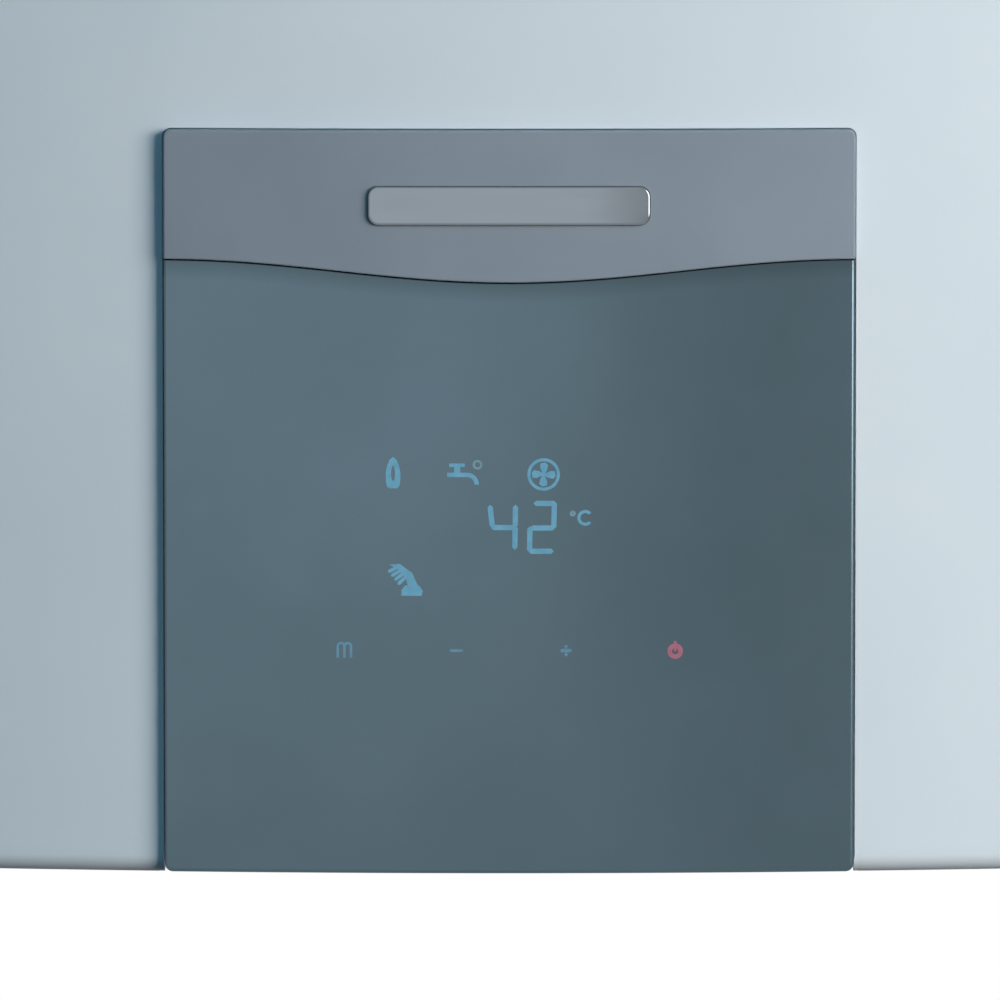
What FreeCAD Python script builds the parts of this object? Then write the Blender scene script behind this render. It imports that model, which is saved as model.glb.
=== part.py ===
import FreeCAD, Part
import math
import os

from FreeCAD import Vector

# A wall-hung instantaneous gas water heater with a fan-assisted flue.
# Places are written as (x, depth, height): x to the right of the centre line seen from the front, depth
# forward from the wall, and height above the lower edge of the painted casing. The function at() turns
# them into the part's own frame: +X right, -Y forward, +Z up, with the origin on the wall plane in the
# middle of the four wall holes. All sizes are millimetres.

# Casing: one painted sheet round the front and both sides
CASE_WIDTH = 350.0
CASE_HEIGHT = 680.0
CASE_DEPTH = 240.0  # wall to the foremost line of the bowed front
CASE_BACK = 12.0  # wall to the rear edge of the sides
CASE_SHEET = 1.2
BOW_RADIUS = 850.0  # plan radius of the front
CORNER_RADIUS = 30.0
FOLD_RADIUS = 4.0  # rounded fold at the upper and lower edges
FLANGE_WIDTH = 16.0  # turned-in edge at top and bottom
CASE_FIT = 0.8  # play between the casing and the chassis inside it
NOTCH_ROLL = 0.2  # rolled edge of the cut-out for the control panel
NOTCH_RETURN = 10.0

# Chassis: back plate with a pan at the top and one at the bottom
PLATE = 1.5
PAN_RIM = 14.0
SIDE_FLANGE = 24.0
WALL_HOLE_RADIUS = 4.25
WALL_HOLE_EDGE = 40.0  # wall hole to the casing's upper or lower edge
WALL_HOLE_SIDE = 35.0  # wall hole to the casing's side
BEAD_INSET = 60.0  # casing's side to the middle of the bead that stiffens the back plate
BEAD_END = 34.0  # casing's upper or lower edge to the bead's middle
BEAD_WIDTH = 12.0
BEAD_DEPTH = 2.0
BEAD_CORNER = 26.0

# Control panel: silver trim band over a bowed glass, both ahead of the painted front
PANEL_WIDTH = 157.0
PANEL_HEIGHT = 170.0
PANEL_FOOT = 0.6  # casing's lower edge to the panel's
PANEL_CORNER = 1.8
TRIM_EDGE = 0.6  # rounding of the trim's front edges
GLASS_EDGE = 0.8
WAVE_EDGE = 0.4  # rounding along the parting line
PANEL_GAP = 0.15  # gap between panel and casing
PANEL_BEHIND = 1.0  # back of glass and trim, behind the painted front
TRIM_PROUD = 3.2
GLASS_PROUD = 2.8
GLASS_INSET = 0.05  # the glass is this much narrower on each side
TRIM_HEIGHT = 29.4  # at the panel's sides
WAVE_DROP = 5.1  # the parting line dips this much in the middle
PARTING_GAP = 0.08
BADGE_WIDTH = 64.0
BADGE_HEIGHT = 9.0
BADGE_PROUD = 1.2
BADGE_GLUE = 0.1  # glue under the badge
BADGE_CORNER = 2.5
BADGE_DROP = 17.0  # panel's upper edge to the badge's middle

# Control box and its boards, behind the panel
BOX_INSET = 5.0  # panel's edge to the box's side
BOX_DEPTH = 58.0
BOX_WALL = 2.5
BOX_CORNER = 4.0
BOARD = 1.6
BOARD_MARGIN = 8.0  # board's edge to the box's inner wall
STANDOFF = 6.0
STANDOFF_RADIUS = 3.5
DISPLAY_SETBACK = 14.0  # painted front to the front of the display board
DISPLAY_WIDTH = 122.0
DISPLAY_LOW = 42.0
DISPLAY_HEIGHT = 84.0
GUIDE_MARGIN = 4.0
GUIDE_GAP = 0.3
CORE_TALL = 24.0
RELAY_TALL = 14.0
CAN_TALL = 18.0
HEADER_TALL = 10.0

# Screws and plain fits
SCREW_RADIUS = 2.0
SCREW_HEAD = 3.8
SCREW_HEAD_HEIGHT = 1.8
SCREW_PLAY = 0.2
RUNNING_PLAY = 0.05
CASE_SCREW_X = 126.0

# Combustion column: burner below, heat exchanger above it, flue hood and fan on top
COLUMN_BACK = 36.0
SHELL_WIDTH = 224.0
COLUMN_FRONT = 76.0  # casing's front to the column, room for the manifold and the leads
SHELL_WALL = 1.2
SHELL_CORNER = 8.0
LIP = 6.0
BURNER_CLEARANCE = 20.0  # panel's upper edge to the burner's lower edge
BURNER_HEIGHT = 95.0
BURNER_WALL = 1.5
BAR_COUNT = 11
BAR_PITCH = 19.0
BAR_WIDTH = 11.0
BAR_HEIGHT = 71.0
BAR_FOOT = 8.0
BAR_SLOTS = 9
BAR_SHEET = 1.0
HORN_RADIUS = 6.8
HORN_LENGTH = 22.0
VENTURI_RISE = 18.0  # burner's lower edge to the venturi axis
VENTURI_RADIUS = 7.5
MANIFOLD_RADIUS = 9.0
MANIFOLD_WALL = 1.5
MANIFOLD_OFFSET = 18.0  # burner's front to the manifold's axis
MANIFOLD_SPARE = 7.0  # manifold past the last bar
NOZZLE_SHANK = 3.0
NOZZLE_FLATS = 8.0
NOZZLE_SEAT = 1.0
NOZZLE_NUT = 4.0
NOZZLE_TIP = 3.0
SIGHT_X = -80.0
SIGHT_RISE = 60.0
SIGHT_RADIUS = 11.0
ELECTRODE_X = (-44.0, -22.0, 22.0)
ELECTRODE_DROP = 8.0  # burner's upper edge to the electrode axis
INSULATOR_RADIUS = 4.0
INSULATOR_COLLAR = 6.5
INSULATOR_TAIL = 24.0  # ahead of the burner
INSULATOR_NOSE = 12.0  # inside the burner
ROD_RADIUS = 1.2

# Heat exchanger
FIN_HEIGHT = 60.0
FIN_SHEET = 0.6
FIN_PITCH = 5.0
FIN_TOP_GAP = 6.0
FIN_SIDE_GAP = 0.3
FIN_TUBE_PITCH = 19.0  # the tubes stand at least this far apart
FIN_TUBE_RADIUS = 8.0
FIN_TUBE_EDGE = 14.0  # shell's outside to the first tube's axis
TUBE_RADIUS = 7.0
TUBE_WALL = 1.0
TUBE_BEND = 14.0
NUT_WALL = 8.0  # hexagon flats over the pipe
NUT_HEIGHT = 12.0
TUBE_STUB = 2.0  # exchanger tubes past the shell
COIL_GAP = 0.5
COIL_MARGIN = 16.0
RISER_OFFSET = 20.0
HOT_PIPE_OFFSET = 28.0

# Fan and flue
SCROLL_RADIUS = 60.0  # outer radius of the first quarter
SCROLL_STEP = 8.0  # growth of the scroll per quarter turn
SCROLL_SHEET = 1.5
SCROLL_DEPTH = 44.0
DUCT_WIDTH = 56.0
DUCT_RISE = 14.0
OUTLET_PLATE = 2.0
OUTLET_MARGIN = 5.0
OUTLET_HEADROOM = 14.0
IMPELLER_RADIUS = 50.0
IMPELLER_SHEET = 2.0
IMPELLER_BLADES = 24
BLADE_LENGTH = 14.0
BLADE_SHEET = 1.2
BLADE_ANGLE = 35.0
IMPELLER_PLAY = 3.0
FAN_INLET = 32.0
HUB_RADIUS = 9.0
SHAFT_RADIUS = 3.0
MOTOR_RADIUS = 30.0
MOTOR_LENGTH = 45.0
MOTOR_STANDOFF = 8.0
MOTOR_FLANGE = 40.0
MOTOR_OPENING = 20.0
HOOD_SHEET = 1.2
HOOD_NECK = 62.0  # depth of the hood behind the fan
HOOD_RISE = 46.0
HOOD_SKIRT = 8.0
FLUE_RADIUS = 30.25  # bore for a 60 mm flue pipe
FLUE_WALL = 1.25
COLLAR_RADIUS = 50.0  # outside, for a 100 mm air pipe
COLLAR_WALL = 1.5
COLLAR_FLANGE = 68.0
COLLAR_SHEET = 2.0
COLLAR_RISE = 42.0  # above the casing's upper edge
FLUE_RISE = 46.0
GASKET = 1.5
COLLAR_SCREWS = 4
COLLAR_SCREW_CIRCLE = 60.0

# Water: cold inlet on the right, hot outlet on the left
STUB_RADIUS = 10.48  # outside of a G 1/2 thread
STUB_DROP = 20.0
STUB_THREAD = 17.0
STUB_NECK = 9.8
STUB_BORE = 7.0
STUB_PLAY = 1.2
HEX_FLATS = 27.0
HEX_HEIGHT = 10.0
WATER_X = 100.0
WATER_DEPTH = 50.0
FITTING_RADIUS = 13.0
FITTING_TOP = 30.0
SENSOR_LENGTH = 48.0
SENSOR_BORE = 9.0
SENSOR_SOCKET = 16.0
SPIDER = 4.0
TURBINE_HUB = 3.5
TURBINE_VANES = 5
TURBINE_PIN = 1.0
VANE_SHEET = 1.0
TURBINE_TIP_PLAY = 0.5
SERVO_LENGTH = 50.0
SERVO_BOSS = 12.0
SERVO_REACH = 28.0
SPINDLE_RADIUS = 4.0
SPINDLE_SEAT = 2.0  # spindle past the far side of the water way
SERVO_MOTOR_RADIUS = 17.0
SERVO_MOTOR_LENGTH = 22.0
DRAIN_REACH = 34.0
DRAIN_BOSS = 9.0
DRAIN_BRANCH = 7.0
DRAIN_STEM = 6.0
DRAIN_HEAD = 9.0
DRAIN_DROP = 10.0

# Gas: inlet in the middle, valve block with two shut-off solenoids and one modulating solenoid
GAS_DEPTH = 62.0
GAS_PIPE_RADIUS = 8.0
VALVE_WIDTH = 80.0
VALVE_DEPTH = 60.0
VALVE_LEVEL = 52.0
VALVE_HEIGHT = 78.0
VALVE_ROUND = 5.0
VALVE_OUTLET = 12.0
VALVE_OUTLET_HEIGHT = 10.0
SOLENOID_RADIUS = 15.0
SOLENOID_LENGTH = 36.0
SOLENOID_CAP = 3.0
SPADE_LENGTH = 7.0
SOLENOID_X = 20.0
SOLENOID_RISE = 46.0
PLUNGER_RADIUS = 5.0
PLUNGER_LENGTH = 20.0
PLUNGER_DISC = 8.0
PLUNGER_DISC_HEIGHT = 3.0
PLUNGER_PLAY = 0.1
POCKET_RADIUS = 9.0
POCKET_DEPTH = 12.0

# Small fittings
GLAND_X = -55.0
GLAND_DEPTH = 110.0
GLAND_RADIUS = 8.0
GLAND_BORE = 3.75
GLAND_NUT = 18.0
GLAND_DROP = 11.0
GLAND_RISE = 12.0
CABLE_RADIUS = 3.0
CABLE_BEND = 14.0
LEAD_RADIUS = 2.5
HOSE_RADIUS = 4.0
HOSE_BORE = 2.2
HOSE_BEND = 9.0
HOSE_LOOP = 26.0  # first hose ahead of its nipple
HOSE_STEP = 12.0  # second hose ahead of the first
HOSE_OUT = 18.0  # first hose out from its tap
HOSE_STAGGER = 26.0  # second hose further out than the first
TAP_PAD = 2.0
TAP_LENGTH = 8.0
TAP_OFFSET = 6.0
TAP_PAD_DEPTH = 24.0
TAP_PAD_HEIGHT = 16.0
SWITCH_RADIUS = 27.0
SWITCH_X = 82.0
SWITCH_BODY = 24.0
SWITCH_FOOT = 3.0
SWITCH_SEAM = 2.0
SWITCH_SEAM_WIDTH = 3.0
NIPPLE_LENGTH = 12.0
NIPPLE_OFFSETS = (-12.0, 10.0)
SPARK_WIDTH = 34.0
SPARK_DEPTH = 55.0
SPARK_HEIGHT = 55.0

# Values worked out from the sizes above
ORIGIN_HEIGHT = CASE_HEIGHT / 2
CHASSIS_INSET = CASE_SHEET + CASE_FIT
PAN_LOW = CHASSIS_INSET
PAN_TOP = PAN_LOW + PLATE
ROOF_TOP = CASE_HEIGHT - CHASSIS_INSET
ROOF_LOW = ROOF_TOP - PLATE
BOX_BACK = CASE_DEPTH - BOX_DEPTH
BOX_TOP = PANEL_HEIGHT - BOX_INSET
BURNER_LEVEL = PANEL_HEIGHT + BURNER_CLEARANCE
BURNER_TOP = BURNER_LEVEL + BURNER_HEIGHT
VENTURI_LEVEL = BURNER_LEVEL + VENTURI_RISE
SHELL_DEPTH = CASE_DEPTH - COLUMN_BACK - COLUMN_FRONT
SHELL_FRONT = COLUMN_BACK + SHELL_DEPTH
SHELL_SIDE = SHELL_WIDTH / 2
MANIFOLD_DEPTH = SHELL_FRONT + MANIFOLD_OFFSET
OUTLET_LEVEL = ROOF_LOW - OUTLET_HEADROOM
SCROLL_TOP = OUTLET_LEVEL - OUTLET_PLATE
SCROLL_LEVEL = SCROLL_TOP - DUCT_RISE - SCROLL_RADIUS
SCROLL_BOTTOM = SCROLL_LEVEL - SCROLL_RADIUS - SCROLL_STEP
SCROLL_X = -(SCROLL_STEP + SCROLL_RADIUS + 2 * SCROLL_STEP - SCROLL_SHEET - DUCT_WIDTH / 2)
NECK_DEPTH = COLUMN_BACK + HOOD_NECK
SCROLL_FRONT = NECK_DEPTH + SCROLL_DEPTH
FLUE_DEPTH = NECK_DEPTH + SCROLL_DEPTH / 2
FAN_X = SCROLL_X + SCROLL_STEP / 2
FAN_LEVEL = SCROLL_LEVEL + SCROLL_STEP / 2
HOOD_LEVEL = SCROLL_BOTTOM - HOOD_RISE
HOOD_TOP = SCROLL_LEVEL + SCROLL_RADIUS
FIN_TOP = HOOD_LEVEL - FIN_TOP_GAP
FIN_LOW = FIN_TOP - FIN_HEIGHT
FIN_MIDDLE = FIN_TOP - FIN_HEIGHT / 2
FIN_TUBE_SPAN = SHELL_DEPTH - 2 * FIN_TUBE_EDGE
FIN_TUBES = 2 * int((FIN_TUBE_SPAN + FIN_TUBE_PITCH) / (2 * FIN_TUBE_PITCH))
FIN_TUBE_STEP = FIN_TUBE_SPAN / (FIN_TUBES - 1)
FIN_TUBE_DEPTHS = [COLUMN_BACK + FIN_TUBE_EDGE + FIN_TUBE_STEP * i for i in range(FIN_TUBES)]
COIL_X = SHELL_SIDE + COIL_GAP + TUBE_RADIUS
COIL_START_DEPTH = COLUMN_BACK + 2 * TUBE_BEND
SENSOR_TOP = FITTING_TOP + SENSOR_LENGTH
SERVO_TOP = SENSOR_TOP + SERVO_LENGTH
SERVO_AXIS = SENSOR_TOP + SERVO_LENGTH / 2
VALVE_FRONT = GAS_DEPTH + VALVE_DEPTH / 2
VALVE_BACK = GAS_DEPTH - VALVE_DEPTH / 2
VALVE_TOP = VALVE_LEVEL + VALVE_HEIGHT
SOLENOID_LEVEL = VALVE_LEVEL + SOLENOID_RISE
BAR_XS = [BAR_PITCH * (i - (BAR_COUNT - 1) / 2) for i in range(BAR_COUNT)]

RIGHT = Vector(1, 0, 0)
LEFT = Vector(-1, 0, 0)
FORWARD = Vector(0, -1, 0)
BACK = Vector(0, 1, 0)
UP = Vector(0, 0, 1)
DOWN = Vector(0, 0, -1)
CUT = 1.0  # how far a cutting tool runs past the face it starts from


def at(x, depth, height):
    """Point in the part's frame."""
    return Vector(x, -depth, height - ORIGIN_HEIGHT)


def block(x, depth, height):
    """Block between (low, high) pairs of x, depth and height."""
    corner = at(x[0], depth[1], height[0])
    return Part.makeBox(x[1] - x[0], depth[1] - depth[0], height[1] - height[0], corner)


def rod(base, axis, radius, length):
    return Part.makeCylinder(radius, length, base, axis)


def ring(base, axis, outer, inner, length):
    """Round tube with plain ends."""
    return rod(base, axis, outer, length).cut(rod(base, axis, inner, length))


def hexagon(base, axis, flats, length):
    """Hexagonal bar, given its width across the flats."""
    side = UP if abs(axis.z) < 0.5 else RIGHT
    across = axis.cross(side)
    radius = flats / math.sqrt(3)
    corners = []
    for i in range(7):
        angle = math.radians(60 * i)
        corners.append(base + side * (radius * math.cos(angle)) + across * (radius * math.sin(angle)))
    return Part.Face(Part.makePolygon(corners)).extrude(axis * length)


def join(*shapes):
    """One solid out of several that touch or overlap."""
    return shapes[0].fuse(list(shapes[1:])).removeSplitter()


def group(shapes):
    """Separate solids that share one node."""
    return Part.makeCompound(list(shapes))


def rounded(shape, radius, keep=lambda edge: True):
    """The shape with its edges rounded, or only those that keep() picks."""
    return shape.makeFillet(radius, [edge for edge in shape.Edges if keep(edge)])


def rounded_end(shape, end, radius):
    """The shape with the one round edge rounded whose centre is the point end."""
    return rounded(shape, radius, lambda e: (e.CenterOfMass - end).Length < 1e-3)


def extruded(points, direction):
    """Prism over a closed polygon."""
    return Part.Face(Part.makePolygon(list(points) + [points[0]])).extrude(direction)


def route(points, bend):
    """Wire of straight runs joined by tangent arcs of one radius."""
    edges = []
    start = points[0]
    for before, corner, after in zip(points, points[1:], points[2:]):
        back = (before - corner).normalize()
        ahead = (after - corner).normalize()
        half = back.getAngle(ahead) / 2
        setback = bend / math.tan(half)
        inward = (back + ahead).normalize()
        arc_start = corner + back * setback
        arc_end = corner + ahead * setback
        arc_middle = corner + inward * (bend / math.sin(half) - bend)
        if (arc_start - start).Length > 1e-6:
            edges.append(Part.LineSegment(start, arc_start).toShape())
        edges.append(Part.Arc(arc_start, arc_middle, arc_end).toShape())
        start = arc_end
    edges.append(Part.LineSegment(start, points[-1]).toShape())
    return Part.Wire(edges)


def pipe(points, bend, radius, bore=0.0):
    """Round bar, or a tube with a bore, along straight runs and bends."""
    wire = route(points, bend)
    direction = points[1] - points[0]

    def swept(size):
        profile = Part.Wire(Part.makeCircle(size, points[0], direction))
        return wire.makePipeShell([profile], True, False)

    solid = swept(radius)
    return solid.cut(swept(bore)) if bore else solid


def screw(base, axis, length):
    """Pan-head screw with a cross recess. Its head lies behind base, its shank runs along axis."""
    head = rod(base - axis * SCREW_HEAD_HEIGHT, axis, SCREW_HEAD, SCREW_HEAD_HEIGHT)
    rim = base - axis * SCREW_HEAD_HEIGHT
    head = rounded_end(head, rim, SCREW_HEAD_HEIGHT * 0.5)
    body = join(head, rod(base, axis, SCREW_RADIUS, length))
    side = UP if abs(axis.z) < 0.5 else RIGHT
    across = axis.cross(side)
    slot_width = SCREW_HEAD * 0.24
    slot_length = SCREW_HEAD * 1.1
    for along, sideways in ((side, across), (across, side)):
        corner = rim - along * (slot_length / 2) - sideways * (slot_width / 2)
        outline = [corner, corner + along * slot_length]
        outline += [outline[1] + sideways * slot_width, corner + sideways * slot_width]
        body = body.cut(extruded(outline, axis * (SCREW_HEAD_HEIGHT * 0.6)))
    return body


def screw_hole(base, axis, length):
    return rod(base - axis * CUT, axis, SCREW_RADIUS + SCREW_PLAY, length + 2 * CUT)


def plan_prism(inset, back, low, high):
    """Prism over the casing's plan, drawn inset from its painted outside, from a rear depth forward."""
    half = CASE_WIDTH / 2 - inset
    corner = max(CORNER_RADIUS - inset, CASE_SHEET)
    bow = BOW_RADIUS - inset
    bow_depth = CASE_DEPTH - BOW_RADIUS
    corner_x = half - corner
    corner_depth = bow_depth + math.sqrt((bow - corner) ** 2 - corner_x**2)
    slope = math.atan2(corner_depth - bow_depth, corner_x)

    def on_corner(sign, angle):
        return at(sign * (corner_x + corner * math.cos(angle)), corner_depth + corner * math.sin(angle), low)

    left = [on_corner(-1, angle) for angle in (0, slope / 2, slope)]
    right = [on_corner(1, angle) for angle in (slope, slope / 2, 0)]
    edges = [
        Part.LineSegment(at(-half, back, low), left[0]).toShape(),
        Part.Arc(*left).toShape(),
        Part.Arc(left[2], at(0, CASE_DEPTH - inset, low), right[0]).toShape(),
        Part.Arc(*right).toShape(),
        Part.LineSegment(right[2], at(half, back, low)).toShape(),
        Part.LineSegment(at(half, back, low), at(-half, back, low)).toShape(),
    ]
    return Part.Face(Part.Wire(edges)).extrude(UP * (high - low))


def folded_plan(inset, back, low, high, radius):
    """plan_prism with its upper and lower edges rounded along the front and the sides."""
    solid = plan_prism(inset, back, low, high)
    levels = (at(0, 0, low).z, at(0, 0, high).z)

    def on_fold(edge):
        middle = edge.CenterOfMass
        level = min(abs(middle.z - levels[0]), abs(middle.z - levels[1]))
        flat = edge.BoundBox.ZLength < 1e-6
        return flat and level < 1e-6 and abs(middle.y + back) > 1e-6

    return rounded(solid, radius, on_fold)


def within(edge, half):
    """True for an edge that stays between -half and half in x."""
    return edge.BoundBox.XMin > -half and edge.BoundBox.XMax < half


def front_rectangle(half, low, high, corner, depth):
    """Rounded rectangle seen from the front, as a prism over a (low, high) pair of depths."""
    solid = block((-half, half), depth, (low, high))

    def upright(edge):
        return edge.BoundBox.XLength < 1e-6 and edge.BoundBox.ZLength < 1e-6

    return rounded(solid, corner, upright)


def bowed_body(ahead):
    """Everything behind the surface that lies this far ahead of the painted front."""
    low = -2 * PANEL_HEIGHT
    height = CASE_HEIGHT + 4 * PANEL_HEIGHT
    return rod(at(0, CASE_DEPTH - BOW_RADIUS, low), UP, BOW_RADIUS + ahead, height)


def above_wave(drop):
    """Region above the parting line of trim and glass, lowered by drop."""
    side = PANEL_WIDTH / 2 - 2 * GLASS_EDGE
    level = PANEL_HEIGHT - TRIM_HEIGHT - drop
    handle = side * 0.3642  # makes each half of the wave follow a cosine
    far = 2 * side

    def wave(poles):
        curve = Part.BezierCurve()
        curve.setPoles(poles)
        return curve.toShape()

    left = at(-side, 0, level)
    right = at(side, 0, level)
    middle = at(0, 0, level - WAVE_DROP)
    top = PANEL_HEIGHT + far
    edges = [
        Part.LineSegment(at(-far, 0, level), left).toShape(),
        wave([left, left + RIGHT * handle, middle + LEFT * handle, middle]),
        wave([middle, middle + RIGHT * handle, right + LEFT * handle, right]),
        Part.LineSegment(right, at(far, 0, level)).toShape(),
        Part.LineSegment(at(far, 0, level), at(far, 0, top)).toShape(),
        Part.LineSegment(at(far, 0, top), at(-far, 0, top)).toShape(),
        Part.LineSegment(at(-far, 0, top), at(-far, 0, level)).toShape(),
    ]
    return Part.Face(Part.Wire(edges)).extrude(FORWARD * (2 * CASE_DEPTH))


def rounded_front(solid, ahead, radius, keep=lambda edge: True):
    """The solid with the edges of its bowed front face rounded, or only those that keep() picks."""
    axis_y = at(0, CASE_DEPTH - BOW_RADIUS, 0).y

    def on_front(edge):
        reach = [math.hypot(v.X, v.Y - axis_y) for v in edge.Vertexes]
        return keep(edge) and all(abs(r - BOW_RADIUS - ahead) < 1e-4 for r in reach)

    return rounded(solid, radius, on_front)


def front_casing():
    """Painted front and sides in one sheet, folded in at top and bottom, with a cut-out for the panel."""
    half = PANEL_WIDTH / 2 + PANEL_GAP
    top = PANEL_HEIGHT + PANEL_GAP
    corner = PANEL_CORNER + PANEL_GAP
    below = -PANEL_HEIGHT
    depth = (CASE_DEPTH - NOTCH_RETURN, CASE_DEPTH + CUT)
    notch = front_rectangle(half, 2 * below, top, corner, depth)
    tall = plan_prism(0, CASE_BACK, below, CASE_HEIGHT - below).cut(notch)
    tall = rounded_front(tall, 0, NOTCH_ROLL, lambda e: within(e, half + CUT))
    outer = folded_plan(0, CASE_BACK, 0, CASE_HEIGHT, FOLD_RADIUS).common(tall)
    inner = folded_plan(CASE_SHEET, -CUT, CASE_SHEET, CASE_HEIGHT - CASE_SHEET, FOLD_RADIUS - CASE_SHEET)
    shell = outer.cut(inner)
    for low, high in ((-CUT, FOLD_RADIUS), (CASE_HEIGHT - FOLD_RADIUS, CASE_HEIGHT + CUT)):
        shell = shell.cut(plan_prism(FLANGE_WIDTH, -CUT, low, high))
    sheet = CASE_SHEET
    around = front_rectangle(half + sheet, 2 * below, top + sheet, corner + sheet, depth)
    flange_gap = block((-half, half), (CASE_DEPTH / 2, CASE_DEPTH), (-CUT, FOLD_RADIUS))
    shell = join(shell, around.common(outer)).cut(flange_gap)
    for base in casing_screw_places():
        shell = shell.cut(screw_hole(base, UP, CASE_SHEET))
    return shell


def casing_screw_places():
    """Foot of each casing screw, under the turned-in lower edge."""
    front = CASE_DEPTH - BOW_RADIUS + math.sqrt(BOW_RADIUS**2 - CASE_SCREW_X**2)
    depth = front - FLANGE_WIDTH / 2
    return [at(x, depth, 0) for x in (-CASE_SCREW_X, CASE_SCREW_X)]


def casing_screws():
    return group(screw(base, UP, PAN_TOP + 2 * SCREW_RADIUS) for base in casing_screw_places())


def bead(width, depth):
    """Run of the pressed bead round the back plate, this wide, over a (low, high) pair of depths."""
    side = CASE_WIDTH / 2 - BEAD_INSET
    blanks = []
    for grow in (width / 2, -width / 2):
        heights = (BEAD_END - grow, CASE_HEIGHT - BEAD_END + grow)
        blanks.append(front_rectangle(side + grow, heights[0], heights[1], BEAD_CORNER + grow, depth))
    return blanks[0].cut(blanks[1])


def back_plate():
    half = CASE_WIDTH / 2 - CHASSIS_INSET
    plate = block((-half, half), (0, PLATE), (PAN_LOW, ROOF_TOP))
    flange_low = PAN_TOP + PAN_RIM + CUT
    flange_high = ROOF_LOW - PAN_RIM - CUT
    flanges = []
    for low, high in ((-half, -half + PLATE), (half - PLATE, half)):
        flanges.append(block((low, high), (0, SIDE_FLANGE), (flange_low, flange_high)))
    plate = join(plate, bead(BEAD_WIDTH, (0, PLATE + BEAD_DEPTH)), *flanges)
    plate = plate.cut(bead(BEAD_WIDTH - 2 * PLATE, (-CUT, BEAD_DEPTH)))
    reach = CASE_WIDTH / 2 - WALL_HOLE_SIDE
    for x in (-reach, reach):
        for height in (WALL_HOLE_EDGE, CASE_HEIGHT - WALL_HOLE_EDGE):
            plate = plate.cut(rod(at(x, -CUT, height), FORWARD, WALL_HOLE_RADIUS, PLATE + 2 * CUT))
    return plate


def pan(low, high):
    """The chassis skin between two heights: a flat plate with a rim all round, folded like the casing."""
    outer = folded_plan(CHASSIS_INSET, PLATE, PAN_LOW, ROOF_TOP, FOLD_RADIUS)
    inner = folded_plan(CHASSIS_INSET + PLATE, 2 * PLATE, PAN_TOP, ROOF_LOW, FOLD_RADIUS - PLATE)
    slab = block((-CASE_WIDTH, CASE_WIDTH), (0, 2 * CASE_DEPTH), (low, high))
    return outer.common(slab).cut(inner)


def bottom_plate():
    plate = pan(PAN_LOW, PAN_TOP + PAN_RIM)
    half = PANEL_WIDTH / 2 + PANEL_GAP + CASE_SHEET + CASE_FIT
    above = (PAN_TOP, PAN_TOP + PAN_RIM + CUT)
    plate = plate.cut(block((-half, half), (BOX_BACK, CASE_DEPTH + CUT), above))
    lip = (CASE_DEPTH - NOTCH_RETURN - CASE_FIT, CASE_DEPTH + CUT)
    plate = plate.cut(block((-half, half), lip, (PAN_LOW - CUT, PAN_TOP + CUT)))
    deep = PLATE + 2 * CUT
    for x, depth in ((WATER_X, WATER_DEPTH), (-WATER_X, WATER_DEPTH), (0, GAS_DEPTH)):
        plate = plate.cut(rod(at(x, depth, PAN_LOW - CUT), UP, STUB_NECK + STUB_PLAY, deep))
    gland_hole = rod(at(GLAND_X, GLAND_DEPTH, PAN_LOW - CUT), UP, GLAND_RADIUS + SCREW_PLAY, deep)
    drain_hole = rod(at(WATER_X, WATER_DEPTH + DRAIN_REACH, PAN_LOW - CUT), UP, DRAIN_STEM + SCREW_PLAY, deep)
    plate = plate.cut(gland_hole).cut(drain_hole)
    slot = SCREW_RADIUS + SCREW_PLAY
    for base in casing_screw_places():
        x = (base.x - slot, base.x + slot)
        plate = plate.cut(block(x, (-base.y, CASE_DEPTH), (0, PAN_TOP + PAN_RIM + CUT)))
        plate = plate.cut(rod(base, UP, slot, PAN_TOP + CUT))
    for base in box_screw_places():
        plate = plate.cut(screw_hole(base, UP, PLATE))
    return plate


def top_plate():
    plate = pan(ROOF_LOW - PAN_RIM, ROOF_TOP)
    middle = at(0, FLUE_DEPTH, ROOF_LOW - CUT)
    plate = plate.cut(rod(middle, UP, COLLAR_RADIUS - COLLAR_WALL, PLATE + 2 * CUT))
    for base in collar_screw_places():
        plate = plate.cut(screw_hole(base, DOWN, ROOF_TOP - ROOF_LOW + GASKET + COLLAR_SHEET))
    return plate


def panel_blank(inset, ahead, edge):
    """Bowed slab of the panel's full outline, before it is parted into trim and glass."""
    half = PANEL_WIDTH / 2 - inset
    depth = (CASE_DEPTH - BOX_DEPTH, CASE_DEPTH + 2 * TRIM_PROUD)
    slab = front_rectangle(half, PANEL_FOOT, PANEL_HEIGHT, PANEL_CORNER, depth)
    slab = slab.common(bowed_body(ahead)).cut(bowed_body(-PANEL_BEHIND))
    return rounded_front(slab, ahead, edge)


def on_wave(edge):
    """True for an edge along the parting line of trim and glass."""
    parting = at(0, 0, PANEL_HEIGHT - TRIM_HEIGHT).z
    tall = edge.BoundBox.ZLength
    return 0.1 * WAVE_DROP < tall < 2 * WAVE_DROP and abs(edge.CenterOfMass.z - parting) < 2 * WAVE_DROP


def trim_band():
    band = panel_blank(0, TRIM_PROUD, TRIM_EDGE).common(above_wave(0))
    return rounded_front(band, TRIM_PROUD, WAVE_EDGE, on_wave)


def glass_panel():
    glass = panel_blank(GLASS_INSET, GLASS_PROUD, GLASS_EDGE).cut(above_wave(PARTING_GAP))
    return rounded_front(glass, GLASS_PROUD, WAVE_EDGE, on_wave)


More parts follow.
